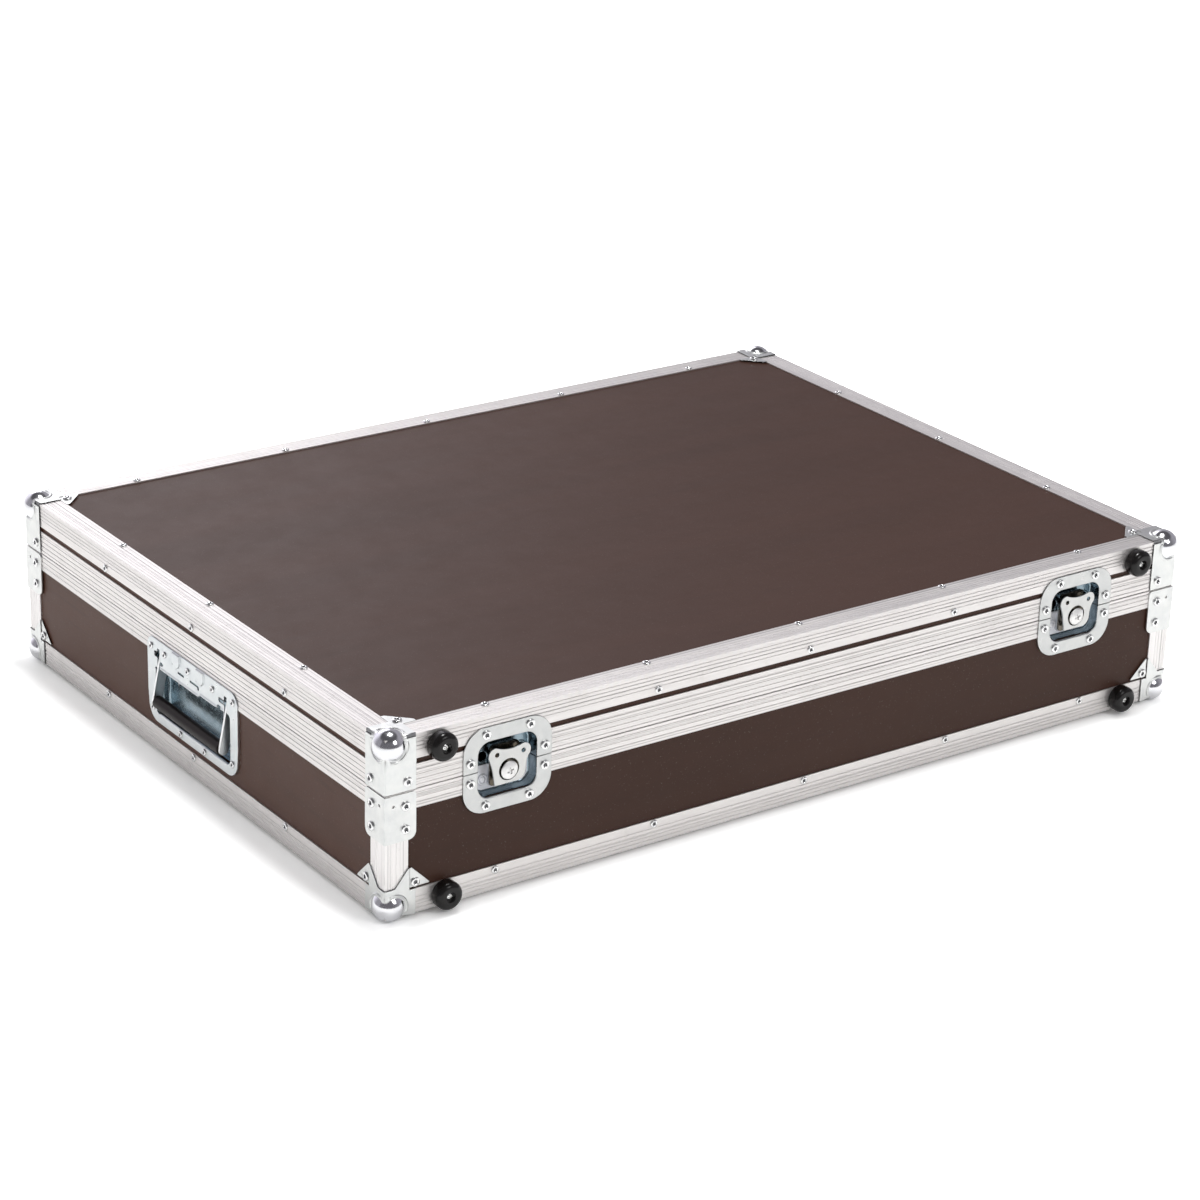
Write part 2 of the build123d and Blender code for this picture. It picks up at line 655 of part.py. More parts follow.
low_places = []
high_places = []
for x in latch_xs:
    for dx, dz in ((21.3, 31.6), (-21.3, 31.6), (36.2, 9.0), (-36.2, 9.0)):
        high_places.append(on_front(x + dx, zp + dz, -Y0 - sheet))
        low_places.append(on_front(x + dx, zp - dz, -Y0 - sheet))
heads("latch_lower_rivets", hard_rivet, low_places)
heads("latch_upper_rivets", hard_rivet, high_places)

# ---------------------------------------------------------------------------
# Handles: pressed dish with a cover band, axle, springs, bail and grip
# ---------------------------------------------------------------------------
hz_low = 32.6
hz_top = 112.6
box_y = 67.0
box_low = 41.5
box_top = 107.2
band_low = 87.2
h_floor = X0 - 13.3
with BuildPart() as handle_left_dish:
    with BuildSketch(left.offset(X0)):
        with BuildLine():
            Polyline((-77.6, hz_low), (77.6, hz_low), (80.4, 60), (80.4, hz_top), (-80.4, hz_top), (-80.4, 60), (-77.6, hz_low))
        outline = make_face()
        fillet(outline.vertices().group_by(Axis.Z)[0], radius=14)
        fillet(outline.vertices().group_by(Axis.Z)[-1], radius=10)
    extrude(amount=sheet)
    fillet(handle_left_dish.faces().sort_by(Axis.X)[0].outer_wire().edges(), radius=0.6)
    # turned-back edge down to the panel, below the rim profile
    with BuildSketch(left.offset(X0 - t)):
        with BuildLine():
            Polyline((-77.6, hz_low), (77.6, hz_low), (80.3, 60), (80.3, b_low - 0.2), (-80.3, b_low - 0.2), (-80.3, 60), (-77.6, hz_low))
        skirt = make_face()
        fillet(skirt.vertices().group_by(Axis.Z)[0], radius=14)
    extrude(amount=t)
    # box behind the flange
    block(-X0, -h_floor + 1.2, -box_y - 1.2, box_y + 1.2, box_low - 1.2, box_top + 1.2)
    block(-X0, -h_floor, -box_y, box_y, box_low, box_top, mode=Mode.SUBTRACT)
    # opening, its lower corners rounded
    with BuildSketch(left.offset(X0 - 1)):
        with Locations((0, (box_low + band_low) / 2)):
            RectangleRounded(2 * box_y, band_low - box_low, 7)
    extrude(amount=5, mode=Mode.SUBTRACT)
    # slots for the arms, and holes for the axle
    for y in (-60.05, 60.05):
        block(-X0 - 5, -X0 + 0.5, y - 2.2, y + 2.2, band_low - 1, 104.3, mode=Mode.SUBTRACT)
    with Locations(Location((-bail_x, 0, bail_z), (90, 0, 0))):
        Cylinder(radius=2.03, height=140, mode=Mode.SUBTRACT)

# bail: two flat arms and the rod through the grip
arm_in = 58.8
dxa = grip_x - bail_x
dza = bail_z - grip_z
arm_len = (dxa ** 2 + dza ** 2) ** 0.5
arm_pl = Plane(origin=(-(bail_x + grip_x) / 2, 0, (bail_z + grip_z) / 2), x_dir=(-dxa, 0, -dza), z_dir=(0, -1, 0))
with BuildPart() as handle_left_bail:
    for y in (-arm_in, arm_in + arm_t):
        with BuildSketch(arm_pl.offset(-y)):
            SlotCenterToCenter(arm_len, 9.0)
        extrude(amount=arm_t)
    with Locations(Location((-bail_x, 0, bail_z), (90, 0, 0))):
        Cylinder(radius=2.05, height=140, mode=Mode.SUBTRACT)
    with Locations(Location((-grip_x, 0, grip_z), (90, 0, 0))):
        Cylinder(radius=3.0, height=2 * (arm_in + 0.5))

with BuildPart() as handle_left_grip:
    with Locations(Location((-grip_x, 0, grip_z), (90, 0, 0))):
        Cylinder(radius=grip_r, height=grip_l)
    fillet(handle_left_grip.edges().filter_by(GeomType.CIRCLE), radius=1.0)
    with Locations(Location((-grip_x, 0, grip_z), (90, 0, 0))):
        Cylinder(radius=3.02, height=grip_l + 2, mode=Mode.SUBTRACT)

with BuildPart() as handle_axles:
    with Locations(Location((-bail_x, 0, bail_z), (90, 0, 0))):
        Cylinder(radius=2.0, height=2 * (box_y + 1.1))
    mirror(about=Plane.YZ)

# torsion springs on the axle, each a coil with a leg on the well floor
with BuildPart() as handle_springs:
    for s in (-1, 1):
        y_a = s * 40.0
        with BuildSketch(Plane(origin=(-bail_x, y_a, bail_z), x_dir=(0, s, 0), z_dir=(-1, 0, 0))):
            with BuildLine():
                pts = [(0, 2.4)]
                for n in range(8):
                    pts += [(n * 1.4, 3.9), (n * 1.4 + 1.1, 3.9), (n * 1.4 + 1.1, 3.5), (n * 1.4 + 1.4, 3.5)]
                pts += [(8 * 1.4, 2.4)]
                Polyline(pts, close=True)
            make_face()
        revolve(axis=Axis((-bail_x, 0, bail_z), (0, 1, 0)))
        block(-bail_x + 2.5, -bail_x + 3.6, y_a, y_a + s * 1.1, bail_z - 26, bail_z)
    mirror(about=Plane.YZ)
save("handle_springs", handle_springs.part)

for name, piece in (
    ("dish", handle_left_dish),
    ("bail", handle_left_bail),
    ("grip", handle_left_grip),
):
    save("handle_left_" + name, piece.part)
    save("handle_right_" + name, mirrored(piece).part)
save("handle_axles", handle_axles.part)

handle_places = []
for on_face, s in ((on_left, -1), (on_right, 1)):
    x = s * (X0 + sheet)
    for y, z in ((-37.5, 103.0), (6.4, 103.0), (48.5, 103.0), (-72.8, 103.8), (72.8, 103.8),
                 (-71.4, 45.2), (71.4, 45.2), (-21.6, 37.0), (21.6, 37.0)):
        handle_places.append(on_face(y, z, x))
small_rivet = rivet(3.3, 1.3)
heads("handle_rivets", small_rivet, handle_places)

# ---------------------------------------------------------------------------
# Hinges at the back, with a heel that stops the lid
# ---------------------------------------------------------------------------
def hinge_base(x):
    block(x - 30, x + 30, Y0, Y0 + 1.5, b_low + 0.2, zp - 0.5)
    for s in (-1, 1):
        block(x + s * 10, x + s * 26, Y0, hinge_y, zp - knuckle_r, zp - 1.4)
        with Locations(Location((x + s * 18, hinge_y, zp), (0, 90, 0))):
            Cylinder(radius=knuckle_r, height=16)


def hinge_lid(x):
    block(x - 30, x + 30, Y0, Y0 + 1.5, zp + 0.5, l_top - 0.2)
    block(x - 9.7, x + 9.7, Y0, hinge_y, zp + 1.4, zp + knuckle_r)
    with Locations(Location((x, hinge_y, zp), (0, 90, 0))):
        Cylinder(radius=knuckle_r, height=19.4)


with BuildPart() as hinge_base_leaves:
    hinge_base(-hinge_x)
    for s in (-1, 1):
        with Locations(Location((-hinge_x + s * 14, hinge_y, zp), (-135, 0, 0))):
            Box(4, 2.4, 7.285, align=(Align.CENTER, Align.CENTER, Align.MIN))
    with Locations(Location((-hinge_x, hinge_y, zp), (0, 90, 0))):
        Cylinder(radius=pin_r + 0.03, height=80, mode=Mode.SUBTRACT)
    mirror(about=Plane.YZ)

with BuildPart() as hinge_lid_leaves:
    hinge_lid(-hinge_x)
    with Locations(Location((-hinge_x, hinge_y, zp), (0, 90, 0))):
        Cylinder(radius=pin_r + 0.05, height=80, mode=Mode.SUBTRACT)
    block(-hinge_x - 9.7, -hinge_x + 9.7, hinge_y - 1.2, hinge_y + 1.2, zp + 3.6, zp + 7.0)
    block(-hinge_x - 16, -hinge_x + 16, hinge_y - 1.2, hinge_y + 1.2, zp + 4.9, zp + 7.0)
    mirror(about=Plane.YZ)

with BuildPart() as hinge_pins:
    with Locations(Location((-hinge_x, hinge_y, zp), (0, 90, 0))):
        Cylinder(radius=pin_r, height=53)
    with Locations(Location((-hinge_x - 26.5 - 0.5, hinge_y, zp), (0, 90, 0)), Location((-hinge_x + 26.5 + 0.5, hinge_y, zp), (0, 90, 0))):
        Cylinder(radius=3.0, height=1.0)
    mirror(about=Plane.YZ)

save("hinge_base_leaves", hinge_base_leaves.part)
save("hinge_lid_leaves", hinge_lid_leaves.part)
save("hinge_pins", hinge_pins.part)
# ---------------------------------------------------------------------------
# Padding
# ---------------------------------------------------------------------------
foam_gap = 0.3
fx = px - ply - foam_gap
fy = py - ply - foam_gap
pad_z = floor_top + foam_gap
dish_back = well_floor - 1.2 - foam_gap
box_back = h_floor - 1.2 - foam_gap
with BuildPart() as base_floor_foam:
    block(-fx + side_pad + foam_gap, fx - side_pad - foam_gap, -fy + side_pad + foam_gap, fy - side_pad - foam_gap, pad_z, pad_z + floor_pad)

side_top = b_top - 13.0
side_low = pad_z
with BuildPart() as base_side_foams:
    # front and back strips over the full width, side strips between them
    block(-fx, fx, -fy, -fy + side_pad, side_low, side_top)
    for x in latch_xs:
        block(x - 32, x + 32, -fy - 1, -dish_back, side_low + 35, side_top + 1, mode=Mode.SUBTRACT)
    block(-fx, fx, fy - side_pad, fy, side_low, side_top)
    for s in (-1, 1):
        # two thick strips and a thinner one behind the handle dish
        for e in (-1, 1):
            block(s * fx, s * (fx - side_pad), e * (fy - side_pad - foam_gap), e * 72, side_low, side_top)
        block(s * box_back, s * (fx - side_pad), -72 + foam_gap, 72 - foam_gap, side_low, side_top)
save("base_floor_foam", base_floor_foam.part)
save("base_side_foams", base_side_foams.part)

with BuildPart() as lid_foam:
    block(-fx, fx, -fy, fy, top_in - foam_gap - lid_pad, top_in - foam_gap)
save("lid_foam", lid_foam.part)
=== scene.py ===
import bpy, bmesh, math
import numpy as np
from mathutils import Vector, Matrix, Euler


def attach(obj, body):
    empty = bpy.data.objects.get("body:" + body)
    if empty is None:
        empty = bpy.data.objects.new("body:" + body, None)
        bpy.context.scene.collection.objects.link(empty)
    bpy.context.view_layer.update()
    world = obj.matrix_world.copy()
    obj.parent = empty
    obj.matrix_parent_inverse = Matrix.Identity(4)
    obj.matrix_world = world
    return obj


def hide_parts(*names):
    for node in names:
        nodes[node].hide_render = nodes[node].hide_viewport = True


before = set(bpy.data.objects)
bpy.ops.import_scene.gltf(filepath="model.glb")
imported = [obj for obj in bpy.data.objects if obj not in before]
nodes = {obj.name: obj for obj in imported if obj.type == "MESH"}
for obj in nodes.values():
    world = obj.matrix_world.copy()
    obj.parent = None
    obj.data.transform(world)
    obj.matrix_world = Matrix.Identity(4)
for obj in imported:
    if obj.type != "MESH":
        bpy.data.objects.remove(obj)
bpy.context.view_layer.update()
scene = bpy.context.scene
MM = 0.001

# ---------------------------------------------------------------------------
# Dimensions of the case, in millimetres, as in the CAD
# ---------------------------------------------------------------------------
X0, Y0 = 428.0, 318.0
z0, z1, zp = 4.6, 164.6, 116.1
leg, t, sheet = 22.0, 1.5, 1.2
cl, fl = 28.7, 42.0
ball_r, ball_in = 14.0, 9.0

# ---------------------------------------------------------------------------
# Camera, at the photograph's angle
# ---------------------------------------------------------------------------
cam_data = bpy.data.cameras.new("camera")
cam_data.sensor_width = 36.0
cam_data.lens = 103.268
cam_data.clip_start, cam_data.clip_end = 0.05, 60
camera = bpy.data.objects.new("camera", cam_data)
camera.location = (-1.72523, -2.42154, 1.31587)
camera.rotation_euler = Euler((math.radians(67.42044), math.radians(-1.52997), math.radians(-34.88539)), "XYZ")
scene.collection.objects.link(camera)
scene.camera = camera
scene.view_settings.view_transform = "Standard"
scene.view_settings.look = "None"


# ---------------------------------------------------------------------------
# Node helpers
# ---------------------------------------------------------------------------
class Graph:
    def __init__(self, name):
        self.m = bpy.data.materials.new(name)
        self.m.use_nodes = True
        self.n = self.m.node_tree.nodes
        self.l = self.m.node_tree.links
        self.n.clear()
        self.out = self.n.new("ShaderNodeOutputMaterial")
        self.b = self.n.new("ShaderNodeBsdfPrincipled")
        self.l.new(self.b.outputs[0], self.out.inputs["Surface"])
        self.tc = self.n.new("ShaderNodeTexCoord")

    def put(self, socket, value):
        if isinstance(value, bpy.types.NodeSocket):
            self.l.new(value, self.b.inputs[socket])
        else:
            self.b.inputs[socket].default_value = value

    def coords(self, scale=(1, 1, 1), rot=(0, 0, 0)):
        mp = self.n.new("ShaderNodeMapping")
        mp.inputs["Scale"].default_value = scale
        mp.inputs["Rotation"].default_value = rot
        self.l.new(self.tc.outputs["Object"], mp.inputs["Vector"])
        return mp.outputs[0]

    def noise(self, scale, detail=3, rough=0.5, at=None, stretch=(1, 1, 1), distort=0.0):
        nd = self.n.new("ShaderNodeTexNoise")
        nd.inputs["Scale"].default_value = scale
        nd.inputs["Detail"].default_value = detail
        nd.inputs["Roughness"].default_value = rough
        nd.inputs["Distortion"].default_value = distort
        self.l.new(at or self.coords(stretch), nd.inputs["Vector"])
        return nd.outputs["Fac"]

    def voronoi(self, scale, feature="F1", out="Distance", at=None, rnd=1.0):
        nd = self.n.new("ShaderNodeTexVoronoi")
        nd.feature = feature
        nd.inputs["Scale"].default_value = scale
        nd.inputs["Randomness"].default_value = rnd
        self.l.new(at or self.coords(), nd.inputs["Vector"])
        return nd.outputs[out]

    def remap(self, v, a, b, c, d, clamp=True):
        nd = self.n.new("ShaderNodeMapRange")
        nd.clamp = clamp
        self.l.new(v, nd.inputs[0])
        for i, x in enumerate((a, b, c, d)):
            nd.inputs[i + 1].default_value = x
        return nd.outputs[0]

    def ramp(self, v, *stops):
        nd = self.n.new("ShaderNodeValToRGB")
        self.l.new(v, nd.inputs[0])
        cr = nd.color_ramp
        while len(cr.elements) < len(stops):
            cr.elements.new(0.5)
        for e, (p, c) in zip(cr.elements, stops):
            e.position = p
            e.color = (*c, 1)
        return nd.outputs[0]

    def math(self, op, a, b=0.0):
        nd = self.n.new("ShaderNodeMath")
        nd.operation = op
        for i, v in enumerate((a, b)):
            if isinstance(v, bpy.types.NodeSocket):
                self.l.new(v, nd.inputs[i])
            else:
                nd.inputs[i].default_value = v
        return nd.outputs[0]

    def mix(self, fac, a, b, mode="MIX"):
        nd = self.n.new("ShaderNodeMix")
        nd.data_type = "RGBA"
        nd.blend_type = mode
        for i, v in ((0, fac), (6, a), (7, b)):
            if isinstance(v, bpy.types.NodeSocket):
                self.l.new(v, nd.inputs[i])
            elif i == 0:
                nd.inputs[i].default_value = v
            else:
                nd.inputs[i].default_value = (*v, 1)
        return nd.outputs[2]

    def bump(self, height, strength, distance, normal=None):
        nd = self.n.new("ShaderNodeBump")
        nd.inputs["Strength"].default_value = strength
        nd.inputs["Distance"].default_value = distance
        self.l.new(height, nd.inputs["Height"])
        if normal is not None:
            self.l.new(normal, nd.inputs["Normal"])
        return nd.outputs[0]


# ---------------------------------------------------------------------------
# Materials
# ---------------------------------------------------------------------------
def aluminium(name, along, base=(0.80, 0.775, 0.76), lo=0.40, hi=0.54):
    """Extruded aluminium: die lines that run along the profile, soft stains, a few rub marks, and dark lines painted
    along it, standing in for shade in its grooves.
    """
    g = Graph(name)
    s = [900.0, 900.0, 900.0]
    s[along] = 6.0
    fine = g.noise(1.0, 2, 0.6, at=g.coords(s))
    s2 = [260.0, 260.0, 260.0]
    s2[along] = 1.5
    band = g.noise(1.0, 3, 0.6, at=g.coords(s2))
    cloud = g.noise(9, 4, 0.55)
    spots = g.noise(160, 2, 0.5)
    rub = g.noise(34, 5, 0.7, at=g.coords((1, 1.7, 1.3), (0.3, 0.5, 0.7)))
    tone = g.remap(cloud, 0.3, 0.7, 0.0, 1.0)
    col = g.mix(tone, base, tuple(c * f for c, f in zip(base, (0.95, 0.945, 0.945))))
    lines = g.remap(band, 0.32, 0.68, 0.93, 1.0)
    col = g.mix(1.0, col, lines, "MULTIPLY")
    s4 = [640.0, 640.0, 640.0]
    s4[along] = 0.35
    # dark lines painted along the profile, standing in for shade in its grooves
    groove_shade_lines = g.noise(1.0, 1, 0.5, at=g.coords(s4))
    col = g.mix(1.0, col, g.remap(groove_shade_lines, 0.60, 0.70, 1.0, 0.66), "MULTIPLY")
    grime = g.remap(g.math("MULTIPLY", spots, rub), 0.34, 0.42, 0.0, 0.16)
    col = g.mix(grime, col, (0.55, 0.53, 0.50))
    g.put("Base Color", col)
    g.put("Metallic", 1.0)
    g.put("Roughness", g.math("ADD", g.remap(fine, 0.25, 0.75, lo, hi), g.remap(rub, 0.5, 0.75, 0.0, 0.08)))
    g.put("Normal", g.bump(g.math("ADD", fine, g.math("MULTIPLY", band, 1.6)), 0.35, 0.00006))
    return g.m


def zinc(name, base=(0.74, 0.775, 0.79), lo=0.20, hi=0.34, flake=0.5, dirt=0.22):
    """Zinc plated sheet steel: faint mottling, pressing marks and hairline scratches."""
    g = Graph(name)
    mott = g.noise(120, 4, 0.6)
    cloud = g.noise(26, 3, 0.5)
    cell = g.voronoi(330, out="Color")
    sep = g.n.new("ShaderNodeSeparateColor")
    g.l.new(cell, sep.inputs[0])
    scr = g.noise(1.0, 3, 0.65, at=g.coords((60, 900, 900), (0.4, 0.8, 0.5)))
    scr2 = g.noise(1.0, 3, 0.65, at=g.coords((900, 70, 700), (0.2, -0.5, 0.9)))
    col = g.mix(g.remap(mott, 0.3, 0.7, 0.0, 1.0), base, tuple(c * f for c, f in zip(base, (0.93, 0.94, 0.95))))
    col = g.mix(g.math("MULTIPLY", sep.outputs[0], 0.12 * flake), col, (0.93, 0.95, 0.97))
    col = g.mix(g.remap(cloud, 0.52, 0.72, 0.0, dirt), col, (0.58, 0.575, 0.56))
    g.put("Base Color", col)
    g.put("Metallic", 1.0)
    r = g.remap(mott, 0.28, 0.72, lo, hi)
    r = g.math("ADD", r, g.remap(g.math("MULTIPLY", scr, scr2), 0.3, 0.42, 0.0, 0.10))
    g.put("Roughness", r)
    g.put("Normal", g.bump(g.math("ADD", g.math("MULTIPLY", mott, 1.0), g.math("MULTIPLY", scr, 0.35)), 0.22, 0.00012))
    return g.m


def film_board(name, along=0, body=1.0, level=0.20):
    """Film-faced plywood: dark brown phenolic film, faint grain telegraphing through, fine pits and rubbed patches."""
    g = Graph(name)
    s = [26.0, 26.0, 26.0]
    s[along] = 1.6
    grain = g.noise(1.0, 5, 0.62, at=g.coords(s), distort=0.25)
    s3 = [240.0, 240.0, 240.0]
    s3[along] = 12.0
    fibre = g.noise(1.0, 3, 0.6, at=g.coords(s3))
    cloud = g.noise(2.6, 2, 0.5)
    cloud2 = g.noise(34, 4, 0.6)
    pits = g.voronoi(420)
    specks = g.noise(700, 1, 0.5)
    mesh = g.noise(1500, 2, 0.6)
    dark, mid, warm = [tuple(c * body for c in k) for k in ((0.034, 0.0145, 0.0090), (0.040, 0.0170, 0.0108), (0.044, 0.0192, 0.0124))]
    col = g.mix(g.remap(grain, 0.3, 0.7, 0.0, 1.0), dark, mid)
    col = g.mix(g.remap(cloud, 0.35, 0.7, 0.0, 0.55), col, warm)
    col = g.mix(g.remap(fibre, 0.55, 0.8, 0.0, 0.25), col, (0.024, 0.014, 0.011))
    dust = g.remap(specks, 0.70, 0.76, 0.0, 0.22)
    col = g.mix(dust, col, (0.20, 0.17, 0.16))
    g.put("Base Color", col)
    rough = g.math("ADD", g.remap(cloud2, 0.3, 0.7, 0.43, 0.48), g.remap(mesh, 0.3, 0.7, -0.03, 0.03))
    g.put("Roughness", rough)
    g.put("Specular IOR Level", level)
    g.put("IOR", 1.47)
    h = g.math("ADD", g.math("MULTIPLY", mesh, 0.5), g.math("MULTIPLY", grain, 0.8))
    h = g.math("ADD", h, g.remap(pits, 0.0, 0.22, -0.5, 0.0))
    g.put("Normal", g.bump(h, 0.25, 0.00010))
    return g.m


def rubber(name, base=(0.0060, 0.0052, 0.0050), lo=0.18, hi=0.26):
    g = Graph(name)
    n1 = g.noise(420, 3, 0.6)
    n2 = g.noise(48, 4, 0.6)
    dusty = g.remap(n2, 0.5, 0.75, 0.0, 0.35)
    col = g.mix(dusty, base, tuple(c * 1.8 + 0.002 for c in base))
    g.put("Base Color", col)
    g.put("Roughness", g.math("ADD", g.remap(n1, 0.3, 0.7, lo, hi), g.math("MULTIPLY", dusty, 0.12)))
    g.put("Specular IOR Level", 0.29)
    g.put("Normal", g.bump(n1, 0.18, 0.00015))
    return g.m


def foam(name):
    """Charcoal polyethylene foam: closed cells cut open, with a soft bloom."""
    g = Graph(name)
    cell = g.voronoi(520, "F1")
    cell2 = g.voronoi(1150, "F1")
    lump = g.noise(24, 4, 0.6)
    col = g.mix(g.remap(cell, 0.05, 0.5, 0.0, 1.0), (0.008, 0.008, 0.009), (0.040, 0.040, 0.043))
    col = g.mix(g.remap(lump, 0.35, 0.7, 0.0, 0.45), col, (0.062, 0.062, 0.066))
    g.put("Base Color", col)
    g.put("Roughness", g.remap(cell2, 0.0, 0.5, 0.82, 0.97))
    g.put("Specular IOR Level", 0.25)
    g.put("Sheen Weight", 0.25)
    g.put("Sheen Roughness", 0.6)
    h = g.math("ADD", g.math("MULTIPLY", cell, 1.0), g.math("MULTIPLY", cell2, 0.5))
    g.put("Normal", g.bump(h, 0.7, 0.0006))
    return g.m


M_ALU_X = aluminium("aluminium_x", 0)
M_ALU_Y = aluminium("aluminium_y", 1)
M_ALU_Z = aluminium("aluminium_z", 2, base=(0.87, 0.85, 0.84))
M_ZINC = zinc("zinc_plate", base=(0.67, 0.695, 0.70), lo=0.26, hi=0.38, flake=0.22, dirt=0.10)
M_PLATE = zinc("corner_steel", base=(0.72, 0.728, 0.712), lo=0.28, hi=0.42, flake=0.3, dirt=0.10)
M_BRACE = zinc("brace_steel", base=(0.74, 0.745, 0.73), lo=0.34, hi=0.48, dirt=0.2)
M_BALL = zinc("ball_steel", base=(0.81, 0.81, 0.83), lo=0.11, hi=0.18, flake=0.15, dirt=0.05)
M_RIVET = zinc("rivet_steel", base=(0.84, 0.84, 0.83), lo=0.16, hi=0.28, dirt=0.1)
M_WING = zinc("wing_steel", base=(0.575, 0.575, 0.56), lo=0.26, hi=0.38, flake=0.2, dirt=0.08)
# near-black copy of the zinc steel, painted shade in the lid corners' seams
M_SEAM_PAINTED_SHADE = zinc("seam_painted_shade", base=(0.16, 0.16, 0.165), lo=0.35, hi=0.5, dirt=0.3)
# dark copy of the zinc steel, painted shade in rivet bores and at the handle band's cut edges
M_BORE_PAINTED_SHADE = zinc("bore_painted_shade", base=(0.10, 0.10, 0.105), lo=0.3, hi=0.45, dirt=0.3)
# dark teal copy of the zinc steel, painted shade and reflection in the latch wells
M_WELL_PAINTED_SHADE = zinc("well_painted_shade", base=(0.24, 0.31, 0.35), lo=0.16, hi=0.26, flake=0.3, dirt=0.15)
M_DISH = zinc("dish_steel", base=(0.565, 0.57, 0.56), lo=0.26, hi=0.38, flake=0.22, dirt=0.10)
# lighter copy of the zinc steel, painted light on the lower floor of the latch wells
M_WELL_FLOOR_PAINTED_LIGHT = zinc("well_floor_painted_light", base=(0.80, 0.80, 0.84), lo=0.34, hi=0.46, flake=0.3, dirt=0.08)
M_WELL_FLOOR_PAINTED_LIGHT.node_tree.nodes["Principled BSDF"].inputs["Metallic"].default_value = 0.35
# dark teal copy of the zinc steel, painted shade and reflection inside the handle boxes
M_BOX_PAINTED_SHADE = zinc("handle_box_painted_shade", base=(0.31, 0.40, 0.45), lo=0.20, hi=0.30, flake=0.4, dirt=0.12)
M_BAIL = zinc("bail_steel", base=(0.86, 0.86, 0.855), lo=0.30, hi=0.42, flake=0.2, dirt=0.06)
M_HEAD = zinc("head_steel", base=(0.82, 0.81, 0.795), lo=0.40, hi=0.50, flake=0.2, dirt=0.08)
M_SCREW = zinc("screw_steel", base=(0.84, 0.84, 0.82), lo=0.14, hi=0.26, dirt=0.2)
# the hook's steel darkened to painted shade in the latch well; it also colours the shaft under each latch head
M_HOOK_PAINTED_SHADE = zinc("hook_painted_shade", base=(0.105, 0.090, 0.068), lo=0.18, hi=0.30, flake=0.2, dirt=0.2)
M_DARK = zinc("dark_steel", base=(0.42, 0.43, 0.45), lo=0.25, hi=0.4, dirt=0.3)
M_BOARD_X = film_board("board_x", 0)
# the end panels take a copy of the board 1.85 times lighter: painted light on the ends
M_BOARD_Y_PAINTED_LIGHT = film_board("board_y_painted_light", 1, 1.85, 0.24)
M_RUBBER = rubber("rubber")
M_GRIP = rubber("grip_rubber", base=(0.0100, 0.0062, 0.0050), lo=0.30, hi=0.40)
M_GRIP.node_tree.nodes["Principled BSDF"].inputs["Specular IOR Level"].default_value = 0.20
M_FOAM = foam("foam")


def paint(name, material):
    o = nodes[name]
    if not o.material_slots:
        o.data.materials.append(material)
    for s in o.material_slots:
        s.material = material


for n in nodes:
    if n.endswith("panel") or n.endswith("panels"):
        paint(n, M_BOARD_Y_PAINTED_LIGHT if "side" in n else M_BOARD_X)
    elif "posts" in n:
        paint(n, M_ALU_Z)
    elif "angle" in n or "rim" in n:
        paint(n, M_ALU_Y if "side" in n else M_ALU_X)
    elif "ball_corners" in n:
        paint(n, M_PLATE)
    elif "braces" in n:
        paint(n, M_BRACE)
    elif "rivets" in n or "screws" in n:
        paint(n, M_RIVET)
    elif n.endswith("feet"):
        paint(n, M_RUBBER)
    elif n.endswith("grip"):
        paint(n, M_GRIP)
    elif "foam" in n:
        paint(n, M_FOAM)
    elif n.endswith("bail"):
        paint(n, M_BAIL)
    elif n.endswith("wing"):
        paint(n, M_WING)
    elif n.endswith("hook"):
        paint(n, M_HOOK_PAINTED_SHADE)
    else:
        paint(n, M_ZINC)


# ---------------------------------------------------------------------------
# Pressed and moulded pieces are written as distance fields in millimetres,
# meshed, thinned out, and shaded with the field's own normals
# ---------------------------------------------------------------------------
def smin(a, b, k):
    h = np.maximum(k - np.abs(a - b), 0.0) / k
    return np.minimum(a, b) - h * h * k * 0.25


def smax(a, b, k):
    return -smin(-a, -b, k)


def poly2(u, v, pts):
    """Signed distance to a closed polygon."""
    d = np.full(u.shape, 1e9)
    s = np.ones(u.shape)
    for i in range(len(pts)):
        (x1, y1), (x2, y2) = pts[i], pts[i - 1]
        ex, ey = x2 - x1, y2 - y1
        wx, wy = u - x1, v - y1
        k = np.clip((wx * ex + wy * ey) / (ex * ex + ey * ey), 0, 1)
        bx, by = wx - ex * k, wy - ey * k
        d = np.minimum(d, bx * bx + by * by)
        c1, c2, c3 = v >= y1, v < y2, ex * wy > ey * wx
        s = np.where((c1 & c2 & c3) | (~c1 & ~c2 & ~c3), -s, s)
    return s * np.sqrt(d)


def rrect(u, v, w, h, r):
    qu, qv = np.abs(u) - w / 2 + r, np.abs(v) - h / 2 + r
    return np.minimum(np.maximum(qu, qv), 0) + np.hypot(np.maximum(qu, 0), np.maximum(qv, 0)) - r


def slab(q, d, d0, d1, r):
    """Solid between depths d0 and d1 inside the outline q, its edges rounded by r."""
    a, b = q + r, np.abs(d - (d0 + d1) / 2) - (d1 - d0) / 2 + r
    return np.minimum(np.maximum(a, b), 0) + np.hypot(np.maximum(a, 0), np.maximum(b, 0)) - r


def brick(P, lo, hi, r=0.3):
    c, s = (np.array(lo) + hi) / 2, (np.array(hi) - lo) / 2
    q = np.abs(P - c) - s + r
    return np.minimum(q.max(1), 0) + np.linalg.norm(np.maximum(q, 0), axis=1) - r


